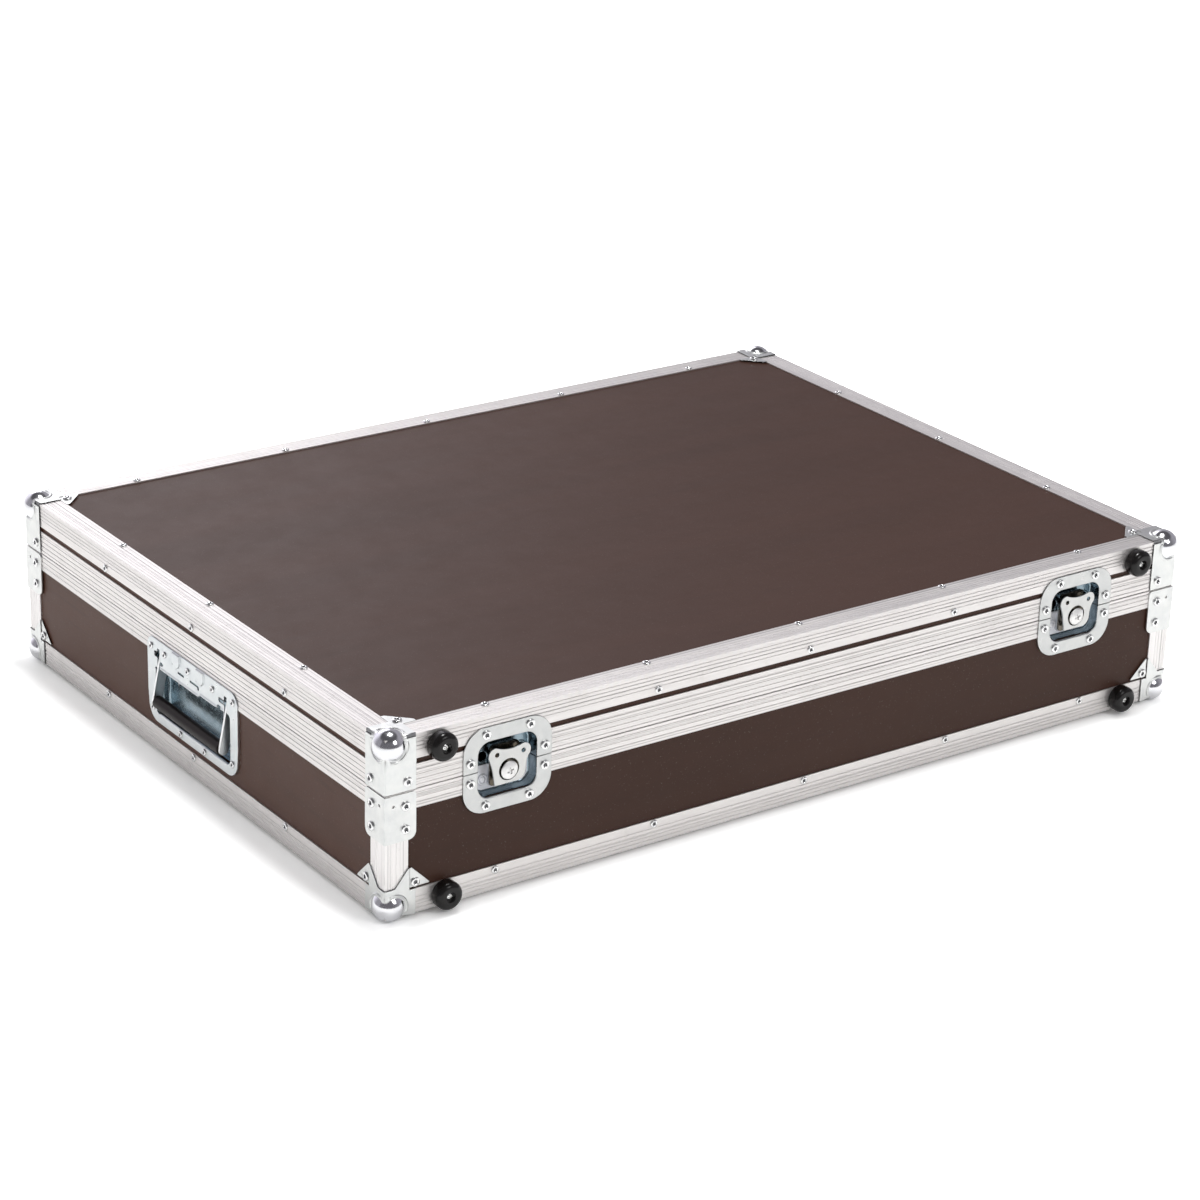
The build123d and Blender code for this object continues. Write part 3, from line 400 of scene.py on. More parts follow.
def nets(f, lo, hi, h):
    """Vertices and quads of the surface f = 0 inside a box, with cells of size h."""
    lo = np.array(lo, float)
    m = 4
    n = (np.ceil((np.array(hi) - lo) / h / m).astype(int) + 1) * m
    b = n // m
    cb = [lo[i] + h * (np.arange(b[i]) * m + (m - 1) / 2) for i in range(3)]
    C = np.stack(np.meshgrid(*cb, indexing="ij"), -1).reshape(-1, 3)
    fc = f(C)
    near = np.abs(fc) < h * (m - 1) / 2 * 1.7321 + h * 0.01
    V = np.repeat(np.repeat(np.repeat(fc.reshape(b), m, 0), m, 1), m, 2)
    off = np.stack(np.meshgrid(*[np.arange(m)] * 3, indexing="ij"), -1).reshape(-1, 3)
    idx = np.stack(np.unravel_index(np.nonzero(near)[0], b), -1)
    fi = (idx[:, None, :] * m + off[None]).reshape(-1, 3)
    V[fi[:, 0], fi[:, 1], fi[:, 2]] = f(lo + h * fi)
    neg = V < 0
    cells = tuple(n - 1)
    acc = np.zeros(cells + (3,))
    num = np.zeros(cells, int)
    cross = []
    for ax in range(3):
        sl0, sl1 = [slice(None)] * 3, [slice(None)] * 3
        sl0[ax], sl1[ax] = slice(0, -1), slice(1, None)
        a, c = V[tuple(sl0)], V[tuple(sl1)]
        e = np.argwhere((a < 0) != (c < 0))
        av, cv = a[tuple(e.T)], c[tuple(e.T)]
        p = lo + h * e
        p[:, ax] += h * av / (av - cv)
        o1, o2 = [k for k in range(3) if k != ax]
        for d1 in (0, 1):
            for d2 in (0, 1):
                q = e.copy()
                q[:, o1] -= d1
                q[:, o2] -= d2
                ok = (q[:, o1] >= 0) & (q[:, o2] >= 0) & (q[:, o1] < cells[o1]) & (q[:, o2] < cells[o2])
                np.add.at(acc, tuple(q[ok].T), p[ok])
                np.add.at(num, tuple(q[ok].T), 1)
        cross.append((e, av < 0))
    used = num > 0
    index = np.full(cells, -1)
    index[used] = np.arange(used.sum())
    verts = acc[used] / num[used][:, None]
    quads = []
    for ax, (e, inside) in enumerate(cross):
        o1, o2 = (ax + 1) % 3, (ax + 2) % 3
        ok = (e[:, o1] > 0) & (e[:, o2] > 0) & (e[:, o1] < cells[o1]) & (e[:, o2] < cells[o2])
        e, inside = e[ok], inside[ok]
        ring = []
        for d1, d2 in ((1, 1), (0, 1), (0, 0), (1, 0)):
            q = e.copy()
            q[:, o1] -= d1
            q[:, o2] -= d2
            ring.append(index[tuple(q.T)])
        q = np.stack(ring, 1)
        q[~inside] = q[~inside][:, ::-1]
        quads.append(q)
    return verts, np.concatenate(quads)


def gradient(f, p, e=0.04):
    g = np.stack([f(p + d) - f(p - d) for d in np.eye(3) * e], 1)
    return g / np.maximum(np.linalg.norm(g, axis=1), 1e-9)[:, None]


def field_piece(name, f, lo, hi, h, thin, places, material, body, keep=None, pick=None, replaces=()):
    """Builds the surface of f once and puts copies of it at the given places, each a 3 x 3 turn and an offset, in mm."""
    v, q = nets(f, lo, hi, h)
    if keep is not None:
        mid = v[q].mean(1)
        gn = gradient(f, mid)
        k = keep(mid, gn)
        q = q[k]
        used = np.unique(q)
        back = np.full(len(v), -1)
        back[used] = np.arange(len(used))
        v, q = v[used], back[q]
    me = bpy.data.meshes.new(name + "_raw")
    me.from_pydata(v.tolist(), [], q.tolist())
    if thin < 1:
        tmp = bpy.data.objects.new(name + "_raw", me)
        scene.collection.objects.link(tmp)
        d = tmp.modifiers.new("thin", "DECIMATE")
        d.ratio = thin
        dg = bpy.context.evaluated_depsgraph_get()
        me2 = bpy.data.meshes.new_from_object(tmp.evaluated_get(dg))
        bpy.data.objects.remove(tmp)
        me = me2
    v = np.zeros(len(me.vertices) * 3)
    me.vertices.foreach_get("co", v)
    v = v.reshape(-1, 3)
    faces = [list(p.vertices) for p in me.polygons]
    for _ in range(3):
        fv = f(v)
        step = np.clip(fv, -h, h)
        v = v - gradient(f, v) * step[:, None]
    nrm = gradient(f, v)
    slots = [0] * len(faces)
    if pick is not None:
        mid = np.array([v[fc].mean(0) for fc in faces])
        slots = pick(mid, gradient(f, mid)).tolist()
    V, F, N, S = [], [], [], []
    for turn, shift in places:
        turn = np.array(turn, float)
        base = len(V) * len(v)
        V.append((v @ turn.T + shift) * MM)
        N.append(nrm @ turn.T)
        flip = np.linalg.det(turn) < 0
        F += [[i + base for i in (reversed(fc) if flip else fc)] for fc in faces]
        S += slots
    V, N = np.concatenate(V), np.concatenate(N)
    out = bpy.data.meshes.new(name)
    out.from_pydata(V.tolist(), [], F)
    for m in material:
        out.materials.append(m)
    out.polygons.foreach_set("material_index", S)
    out.polygons.foreach_set("use_smooth", [True] * len(F))
    out.update()
    out.normals_split_custom_set_from_vertices(N.tolist())
    return settle(name, out, body, replaces)


def settle(name, mesh, body, replaces=()):
    o = bpy.data.objects.new(name, mesh)
    scene.collection.objects.link(o)
    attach(o, body)
    if replaces:
        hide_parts(*([replaces] if isinstance(replaces, str) else replaces))
    return o


# corner places: a runs in from the side face, b from the front or back face, c from the bottom or top
def corner_places(lid):
    out = []
    for sx in (-1, 1):
        for sy in (-1, 1):
            turn = np.diag([-sx, -sy, -1.0 if lid else 1.0])
            out.append((turn, np.array([sx * X0, sy * Y0, z1 if lid else z0])))
    return out


star = [(-sheet, -sheet), (cl, -sheet), (cl, leg + 0.6), (leg + 0.9, leg + 0.6), (leg + 0.9, fl),
        (leg - 0.6, fl), (9.0, cl - 2.2), (-sheet, cl - 2.2)]
star_flat = [(-sheet, -sheet), (cl, -sheet), (cl, leg + 0.5), (leg + 0.5, leg + 0.5), (leg + 0.5, cl), (-sheet, cl)]
flap = [(leg + 1.5, leg + 2.0), (fl + 0.2, leg + 2.0), (fl + 0.2, leg + 3.2), (leg + 3.2, fl), (leg + 1.5, fl)]
flap_flat = [(leg - 1, leg - 1), (fl, leg - 1), (fl, leg + 2.6), (leg + 2.6, fl), (leg - 1, fl)]


def bend(a, b, c, r):
    """The folded edges, rounder next to the ball."""
    r = r + 2.2 * np.clip((26.0 - np.maximum(np.maximum(a, b), c)) / 8.0, 0, 1)
    q = np.stack([-(a + sheet) + r, -(b + sheet) + r, -(c + sheet) + r], 1)
    return np.minimum(q.max(1), 0) + np.linalg.norm(np.maximum(q, 0), axis=1) - r


ball_at = np.array([8.5, 8.5, 8.8])


def ball_and_lips(P, u):
    u = np.maximum(u, ball_in - P.max(1))
    ball = np.linalg.norm(P - ball_at, axis=1) - ball_r
    u = smin(u, ball, 0.9)
    for i, j, k in ((0, 2, 1), (1, 2, 0), (0, 1, 2)):
        rr = np.hypot(P[:, i] - ball_at[i], P[:, j] - ball_at[j])
        lip = np.hypot(rr - 11.8, P[:, k] + sheet - 0.1) - 0.95
        lip = np.maximum(lip, np.maximum(4.0 - P[:, i], 4.0 - P[:, j]))
        u = smin(u, lip, 0.7)
    return u


def base_corner(P):
    a, b, c = P.T
    u = slab(poly2(a, c, star), b, -sheet, 0.0, 0.35)
    u = np.minimum(u, slab(poly2(b, c, star), a, -sheet, 0.0, 0.35))
    u = np.minimum(u, slab(poly2(a, b, star_flat), c, -sheet, 0.0, 0.35))
    u = np.maximum(u, bend(a, b, c, 1.7))
    u = ball_and_lips(P, u)
    u = np.maximum(u, np.minimum(np.minimum(a, b), c) - 0.12)
    tab = np.minimum(slab(poly2(a, c, flap), b, -0.35, 1.6, 0.3), slab(poly2(b, c, flap), a, -0.35, 1.6, 0.3))
    tab = np.minimum(tab, slab(poly2(a, b, flap_flat), c, -0.5, 1.6, 0.3))
    u = np.minimum(u, tab)
    return np.maximum(u, -(c + 4.6))


lid_leg = z1 - (zp + 0.5)


def lid_corner(P):
    a, b, c = P.T
    wall = [(-sheet, -sheet), (cl, -sheet), (cl, lid_leg), (-sheet, lid_leg)]
    u = slab(poly2(a, c, wall), b, -sheet, 0.0, 0.35)
    u = np.minimum(u, slab(poly2(b, c, wall), a, -sheet, 0.0, 0.35))
    u = np.minimum(u, slab(poly2(a, b, star_flat), c, -sheet, 0.0, 0.35))
    u = np.maximum(u, bend(a, b, c, 1.7))
    # open seam between the top plate and each upright plate
    for s, o in ((a, b), (b, a)):
        seam = np.maximum(np.maximum(19.6 - s, np.abs(c - 0.4) - 1.7), o - 0.35)
        u = smax(u, -seam, 0.3)
    # crease down the upright edge
    crease = np.maximum(np.hypot(a + 0.72, b + 0.72) - 0.22, 24.0 - c)
    u = smax(u, -crease, 0.25)
    u = ball_and_lips(P, u)
    u = np.maximum(u, np.minimum(np.minimum(a, b), c) - 0.12)
    tab = slab(poly2(a, b, flap_flat), c, -0.5, 1.6, 0.3)
    # a thin strip set in the seam, painted near-black as shade in the gap
    for s, o in ((a, b), (b, a)):
        shade_strip = np.maximum(np.maximum(np.abs(s - 24.0) - 4.6, np.abs(c - 0.4) - 1.6), np.abs(o - 0.05) - 0.22)
        tab = np.minimum(tab, shade_strip)
    return np.minimum(u, tab)


def not_hidden(mid, n):
    """Leaves out the faces that lie on the profiles."""
    back = ((mid[:, 0] > -0.2) & (n[:, 0] > 0.7)) | ((mid[:, 1] > -0.2) & (n[:, 1] > 0.7)) | ((mid[:, 2] > -0.2) & (n[:, 2] > 0.7))
    return ~back


def ball_faces(mid, n):
    r = np.linalg.norm(mid - ball_at, axis=1)
    radial = ((mid - ball_at) * n).sum(1) / np.maximum(r, 1e-6)
    out = (radial > 0.97) & (np.abs(r - ball_r) < 0.35)
    return np.where(out, 1, 0)


def lid_faces(mid, n):
    s = ball_faces(mid, n)
    far = np.maximum(mid[:, 0], mid[:, 1])
    near = np.minimum(mid[:, 0], mid[:, 1])
    # faces in the seam take the near-black material: painted shade in the gap
    gap = (far > 19.8) & (np.abs(mid[:, 2] - 0.4) < 1.75) & (near > -0.6) & (near < 0.6)
    return np.where(gap, 2, s)


span = fl + 2.0
STEP = 0.42
field_piece("base_corners", base_corner, (-7, -7, -7), (span, span, span), STEP, 0.3, corner_places(False),
            [M_PLATE, M_BALL], "base", keep=not_hidden, pick=ball_faces, replaces="base_ball_corners")
field_piece("lid_corners", lid_corner, (-7, -7, -7), (span, span, lid_leg + 2), STEP, 0.3, corner_places(True),
            [M_PLATE, M_BALL, M_SEAM_PAINTED_SHADE], "lid", keep=not_hidden, pick=lid_faces, replaces="lid_ball_corners")


# ---------------------------------------------------------------------------
# Turned pieces: a profile of (radius, height) points revolved about its axis
# ---------------------------------------------------------------------------
def turned(profile, seg, places, name, material, body, replaces=(), picks=None, sharp=40):
    """places are (centre, outward direction) in mm. picks gives the material slot of each band of the profile."""
    rings = len(profile)
    V, F, S = [], [], []
    for centre, axis in places:
        axis = Vector(axis).normalized()
        side = axis.orthogonal().normalized()
        up = axis.cross(side)
        base = len(V)
        for r, z in profile:
            for k in range(seg):
                w = 2 * math.pi * k / seg
                p = Vector(centre) + axis * z + (side * math.cos(w) + up * math.sin(w)) * max(r, 0.0005)
                V.append(tuple(p * MM))
        for i in range(rings - 1):
            for k in range(seg):
                a, b = base + i * seg + k, base + i * seg + (k + 1) % seg
                F.append((a, b, b + seg, a + seg))
                S.append(picks[i] if picks else 0)
    me = bpy.data.meshes.new(name)
    me.from_pydata(V, [], F)
    for m in material:
        me.materials.append(m)
    me.polygons.foreach_set("material_index", S)
    me.polygons.foreach_set("use_smooth", [True] * len(F))
    bm = bmesh.new()
    bm.from_mesh(me)
    bmesh.ops.remove_doubles(bm, verts=bm.verts, dist=2e-6)
    for e in bm.edges:
        if len(e.link_faces) == 2 and e.calc_face_angle(0) > math.radians(sharp):
            e.smooth = False
    bm.to_mesh(me)
    bm.free()
    return settle(name, me, body, replaces)


def arc(cx, cy, r, a0, a1, n):
    return [(cx + r * math.cos(math.radians(a0 + (a1 - a0) * i / n)), cy + r * math.sin(math.radians(a0 + (a1 - a0) * i / n)))
            for i in range(n + 1)]


def rivet_profile(r, h):
    """Tubular rivet head: round shoulder, shallow crater and a bore painted dark as shade."""
    p = [(r, 0.0)] + arc(r - 0.75, h - 0.85, 0.75, 0, 62, 4) + arc(r * 0.60, h - 0.45, 0.45, 75, 125, 3)
    p += [(r * 0.42, h - 0.42), (r * 0.36, h - 0.62), (r * 0.33, h - 1.0), (0.0, h - 1.05)]
    return p


def rivets(name, r, h, places, body, node, seg=22):
    prof = rivet_profile(r, h)
    n = len(prof) - 1
    # the crater's last bands take the dark material: painted shade in the bore
    picks = [0] * (n - 3) + [1, 1, 1]
    return turned(prof, seg, places, name, [M_RIVET, M_BORE_PAINTED_SHADE], body, node, picks)


run_x = [-322, -161, 0, 161, 322]
run_y = [-159.5, 0, 159.5]
rv = 18.2
b_low, l_top = zp - 17.3, zp + 21.9
hinge_x, hinge_y = 255.0, Y0 + 6.0
base_p, lid_p = [], []
for x in run_x:
    base_p += [((x, -Y0, z0 + rv), (0, -1, 0)), ((x, Y0, z0 + rv), (0, 1, 0)),
               ((x, -Y0 + rv, z0), (0, 0, -1)), ((x, Y0 - rv, z0), (0, 0, -1))]
    if abs(x) < 300:
        lid_p.append(((x, -Y0, z1 - rv + 0.8), (0, -1, 0)))
    lid_p += [((x, Y0, z1 - rv), (0, 1, 0)), ((x, -Y0 + rv, z1), (0, 0, 1)), ((x, Y0 - rv, z1), (0, 0, 1))]
for y in run_y:
    for s in (-1, 1):
        base_p += [((s * X0, y, z0 + rv), (s, 0, 0)), ((s * (X0 - rv), y, z0), (0, 0, -1))]
        lid_p += [((s * X0, y, z1 - rv), (s, 0, 0)), ((s * (X0 - rv), y, z1), (0, 0, 1))]
for s in (-1, 1):
    for dx in (-22, 0, 22):
        base_p.append(((s * hinge_x + dx, Y0 + 1.5, b_low + 5.2), (0, 1, 0)))
        lid_p.append(((s * hinge_x + dx, Y0 + 1.5, l_top - 5.4), (0, 1, 0)))
rivets("base_edge_rivet_heads", 3.6, 1.3, base_p, "base", "base_edge_rivets")
rivets("lid_edge_rivet_heads", 3.6, 1.3, lid_p, "lid", "lid_edge_rivets")

fp = leg + 6.4
base_c, lid_c = [], []
for sx in (-1, 1):
    for sy in (-1, 1):
        for z in (83.0, 103.7):
            base_c += [((sx * (X0 - 18.6), sy * (Y0 + sheet), z), (0, sy, 0)), ((sx * (X0 + sheet), sy * (Y0 - 18.6), z), (sx, 0, 0))]
        base_c += [((sx * (X0 - fp), sy * (Y0 + 0.35), z0 + fp), (0, sy, 0)), ((sx * (X0 + 0.35), sy * (Y0 - fp), z0 + fp), (sx, 0, 0)),
                   ((sx * (X0 - fp), sy * (Y0 - fp), z0 - 0.5), (0, 0, -1))]
        lid_c += [((sx * (X0 - 20.6), sy * (Y0 + sheet), 124.8), (0, sy, 0)), ((sx * (X0 + sheet), sy * (Y0 - 20.6), 124.8), (sx, 0, 0)),
                  ((sx * (X0 - fp), sy * (Y0 - fp), z1 + 0.5), (0, 0, 1))]
rivets("base_corner_rivet_heads", 4.2, 1.6, base_c, "base", "base_corner_rivets", 26)
rivets("lid_corner_rivet_heads", 4.2, 1.6, lid_c, "lid", "lid_corner_rivets", 26)

latch_xs = (-311.6, 306.4)
low_p, high_p = [], []
for x in latch_xs:
    for dx, dz in ((21.3, 31.6), (-21.3, 31.6), (36.2, 9.0), (-36.2, 9.0)):
        high_p.append(((x + dx, -Y0 - sheet, zp + dz), (0, -1, 0)))
        low_p.append(((x + dx, -Y0 - sheet, zp - dz), (0, -1, 0)))
rivets("latch_lower_rivet_heads", 4.2, 1.6, low_p, "base", "latch_lower_rivets", 26)
rivets("latch_upper_rivet_heads", 4.2, 1.6, high_p, "lid", "latch_upper_rivets", 26)
handle_p = []
for s in (-1, 1):
    for y, z in ((-37.5, 103.0), (6.4, 103.0), (48.5, 103.0), (-72.8, 103.8), (72.8, 103.8),
                 (-71.4, 45.2), (71.4, 45.2), (-21.6, 37.0), (21.6, 37.0)):
        handle_p.append(((s * (X0 + sheet), y, z), (s, 0, 0)))
rivets("handle_rivet_heads", 3.3, 1.3, handle_p, "base", "handle_rivets", 24)


# ---------------------------------------------------------------------------
# Rubber feet with a cross-slotted screw and washer
# ---------------------------------------------------------------------------
def foot_profile():
    p = [(4.15, 5.0), (4.2, 5.4), (4.2, 10.4)] + arc(5.1, 11.0, 0.9, 180, 95, 5)
    p += arc(12.5 - 5.0, 12 - 5.0, 5.0, 88, 2, 12) + [(12.5, 5.5), (12.42, 2.4)]
    p += arc(12.5 - 1.3, 1.2, 1.25, 20, -80, 4) + [(10.5, 0.0)]
    return p


def washer_profile():
    return [(4.3, 7.1), (4.3, 7.3)] + arc(3.9, 7.4, 0.35, 0, 90, 3) + [(2.8, 7.8)]


def screw_head(name, places, body, node):
    """Pan head with a cross recess, set in the bore of each foot."""
    def f(P):
        x, y, z = P.T
        r = np.hypot(x, y)
        z = z - 1.6
        head = np.sqrt(x * x + y * y + (z - 3.2) ** 2) - 5.2
        head = smax(smax(r - 3.1, head, 0.5), 5.5 - z, 0.1)
        slot_a = np.maximum(np.maximum(np.abs(x) - 0.42 + (8.6 - z) * 0.06, np.abs(y) - 1.9), 7.0 - z)
        slot_b = np.maximum(np.maximum(np.abs(y) - 0.42 + (8.6 - z) * 0.06, np.abs(x) - 1.9), 7.0 - z)
        return smax(smax(head, -slot_a, 0.15), -slot_b, 0.15)
    spots = []
    for (x, y, z), _ in places:
        spots.append((np.array([[1, 0, 0], [0, 0, -1], [0, 1, 0]], float), np.array([x, y, z])))
    return field_piece(name, f, (-3.6, -3.6, 6.6), (3.6, 3.6, 10.6), 0.14, 0.5, spots, [M_SCREW], body,
                       keep=lambda m, n: m[:, 2] > 7.2, replaces=node)


for part, x, z in (("base", X0 - 56.4, z0 + 10.9), ("lid", X0 - 51.0, z1 - 14.2)):
    spots = [((s * x, -Y0, z), (0, -1, 0)) for s in (-1, 1)]
    turned(foot_profile(), 48, spots, part + "_rubber_feet", [M_RUBBER], part, part + "_feet", sharp=50)
    turned(washer_profile(), 32, spots, part + "_foot_washers", [M_SCREW], part, ())
    screw_head(part + "_foot_screw_heads", spots, part, part + "_foot_screws")


# ---------------------------------------------------------------------------
# Latch dishes. Local frame: u to the right, w up from the split line, d out of the front face
# ---------------------------------------------------------------------------
WELL_D = -9.5
AXIS_W, PIN_W = -4.0, -13.2


def dish_shell(u, w, d):
    f = slab(rrect(u, w, 86.0, 76.0, 21.0), d, 0.02, sheet, 0.42)
    # drawn well: walls lean in towards a floor with a round corner
    k = np.clip((sheet - d) / (sheet - WELL_D), 0, 1)
    q_in = rrect(u, w + 0.4, 56.8, 49.4, 11.0) + (1.15 - 0.7 * np.clip(w / 20, 0, 1)) * k
    body = slab(rrect(u, w + 0.35, 59.2, 51.0, 11.9) + 0.15, d, WELL_D - 1.15, sheet - 0.2, 0.6)
    f = smin(f, body, 0.3)
    return smax(f, -smax(q_in, WELL_D - d, 2.2), 1.9)


def dish_skirt(u, w, d):
    f = smax(slab(rrect(u, w, 86.0, 76.0, 21.0), d, -t - 0.05, 0.4, 0.1), w - (b_low - 0.2 - zp), 0.1)
    return np.maximum(f, -rrect(u, w + 0.4, 58.4, 51.0, 11.7))


def clinch(u, w, d, cu, cw, r, h):
    """Round clinch mark on the well floor."""
    rr = np.hypot(u - cu, w - cw)
    ring = np.hypot(rr - r, d - WELL_D) - h
    return np.minimum(ring, slab(rr - r * 0.62, d, WELL_D - 0.6, WELL_D + h * 0.75, 0.3))


def lower_dish(P):
    u, w, d = P.T
    f = np.minimum(dish_shell(u, w, d), dish_skirt(u, w, d))
    for s in (-1, 1):
        f = smin(f, clinch(u, w, d, s * 17.9, -13.4, 4.0, 1.0), 0.5)
    f = smax(f, w + 0.25, 0.35)
    block = np.minimum(brick(P, (-13, -19, WELL_D - 0.2), (13, -0.3, WELL_D + 3.2), 0.7),
                       brick(P, (-13, -3.0, WELL_D + 0.4), (13, 8.5, WELL_D + 3.2), 0.7))
    f = np.minimum(f, block)
    return np.maximum(f, -np.maximum(np.hypot(u, w - AXIS_W) - 4.1, WELL_D + 0.3 - d))


def upper_dish(P):
    u, w, d = P.T
    f = dish_shell(u, w, d)
    # windows pressed beside the hook, with a turned lip
    for s in (-1, 1):
        q = np.hypot(u - s * 18.6, w - 7.6) - 4.4
        f = smax(f, -smax(q, WELL_D - 0.9 - d, 0.3), 0.3)
        f = smin(f, np.hypot(q - 0.55, d - WELL_D - 0.15) - 0.75, 0.4)
    f = smax(f, 0.25 - w, 0.35)
    return np.minimum(f, brick(P, (-12, 12.5, WELL_D - 0.2), (12, 16.0, WELL_D + 2.7), 0.6))


def dish_hidden(mid, n):
    q = rrect(mid[:, 0], mid[:, 1], 60.0, 51.2, 12.2)
    return ~((mid[:, 2] < 0.1) & (n[:, 2] < -0.7) & (q > 0))


def well_faces(mid, n):
    # walls and upper floor take the dark teal material, painted shade and reflection; the lower floor takes the
    # lighter copy, painted light
    q = rrect(mid[:, 0], mid[:, 1] + 0.4, 56.8, 49.4, 11.0)
    wall = (mid[:, 2] < sheet - 0.9) & (mid[:, 2] > WELL_D + 0.35) & (q > -3.2) & (q < 0.6)
    wall = wall | ((mid[:, 2] < WELL_D + 0.35) & (q > -2.4) & (q < 0.6))
    return np.where(wall, 1, np.where((mid[:, 2] < WELL_D + 1.6) & (q < -2.4), np.where(mid[:, 1] < 0, 2, 1), 0))


def on_front_face(x):
    return (np.array([[1, 0, 0], [0, 0, -1], [0, 1, 0]], float), np.array([x, -Y0, zp]))


for half, fn, w_lo, w_hi, body in (("lower", lower_dish, -39.5, 10.0, "base"), ("upper", upper_dish, -0.8, 39.5, "lid")):
    for side, x in zip(("left", "right"), latch_xs):
        field_piece("latch_%s_%s_dish_plate" % (side, half), fn, (-44.5, w_lo, WELL_D - 2.4), (44.5, w_hi, 2.6),
                    0.45, 0.3, [on_front_face(x)], [M_DISH, M_WELL_PAINTED_SHADE, M_WELL_FLOOR_PAINTED_LIGHT], body,
                    keep=dish_hidden, pick=well_faces, replaces="latch_%s_%s_dish" % (side, half))


def spindle(P):
    """Shaft, cam, carrier arm with its pin, and a domed head with a cross slot."""
    u, w, d = P.T
    e = d - WELL_D
    v = w - AXIS_W
    r = np.hypot(u, v)
    f = slab(r - 4.0, e, 0.6, 3.4, 0.3)
    f = np.minimum(f, slab(np.hypot(u, v + 3.0) - 5.5, e, 3.4, 5.8, 0.3))
    f = np.minimum(f, slab(r - 5.0, e, 5.8, 13.4, 0.3))
    f = np.minimum(f, brick(P, (-4.7, PIN_W, WELL_D + 5.8), (4.7, AXIS_W, WELL_D + 8.0), 0.5))
    p = np.hypot(w - PIN_W, e - 8.8)
    f = np.minimum(f, slab(p - 1.9, u, -4.7, 4.7, 0.3))
    f = np.minimum(f, slab(p - 1.2, u, -9.2, 9.2, 0.3))
    dome = np.sqrt(u * u + v * v + (e + 4.2) ** 2) - 19.5
    head = smax(smax(r - 8.6, dome, 1.6), 12.9 - e, 0.4)
    a, b = (u * 0.94 + v * 0.34), (u * -0.34 + v * 0.94)
    slot_a = np.maximum(np.maximum(np.abs(a) - 0.75, np.abs(b) - 3.2), 13.9 - e)
    slot_b = np.maximum(np.maximum(np.abs(b) - 0.75, np.abs(a) - 3.2), 13.9 - e)
    head = smax(smax(head, -slot_a, 0.25), -slot_b, 0.25)
    return np.minimum(f, head)


for side, x in zip(("left", "right"), latch_xs):
    # the shaft below the head takes the hook material, painted shade under the head
    field_piece("latch_%s_spindle_shaft" % side, spindle, (-10.5, -16.5, WELL_D - 0.5), (10.5, 6.5, WELL_D + 16.4),
                0.28, 0.35, [on_front_face(x)], [M_HEAD, M_HOOK_PAINTED_SHADE], "latch_%s_spindle" % side,
                pick=lambda m, n: np.where(m[:, 2] - WELL_D < 12.8, 1, 0),
                replaces="latch_%s_spindle" % side)


# ---------------------------------------------------------------------------
# Handle dishes. Local frame: u towards the front, w up, d out of the side face
# ---------------------------------------------------------------------------
BOX_D = -13.3


def corner_max(a, b, r):
    qa, qb = a + r, b + r
    return np.minimum(np.maximum(qa, qb), 0) + np.hypot(np.maximum(qa, 0), np.maximum(qb, 0)) - r


def band_edge(u):
    """Height of the cover band's lower edge along the handle."""
    z = 85.4 + 2.4 * np.clip((u - 12.0) / 4.0, 0, 1)
    return z + 1.2 * np.clip((u - 41.0) / 8.0, 0, 1)


def handle_flange(u, w):
    side = np.abs(u) - (80.4 - np.maximum(60 - w, 0) * 0.102)
    return np.maximum(corner_max(side, 32.6 - w, 14.0), corner_max(side, w - 112.6, 10.0))


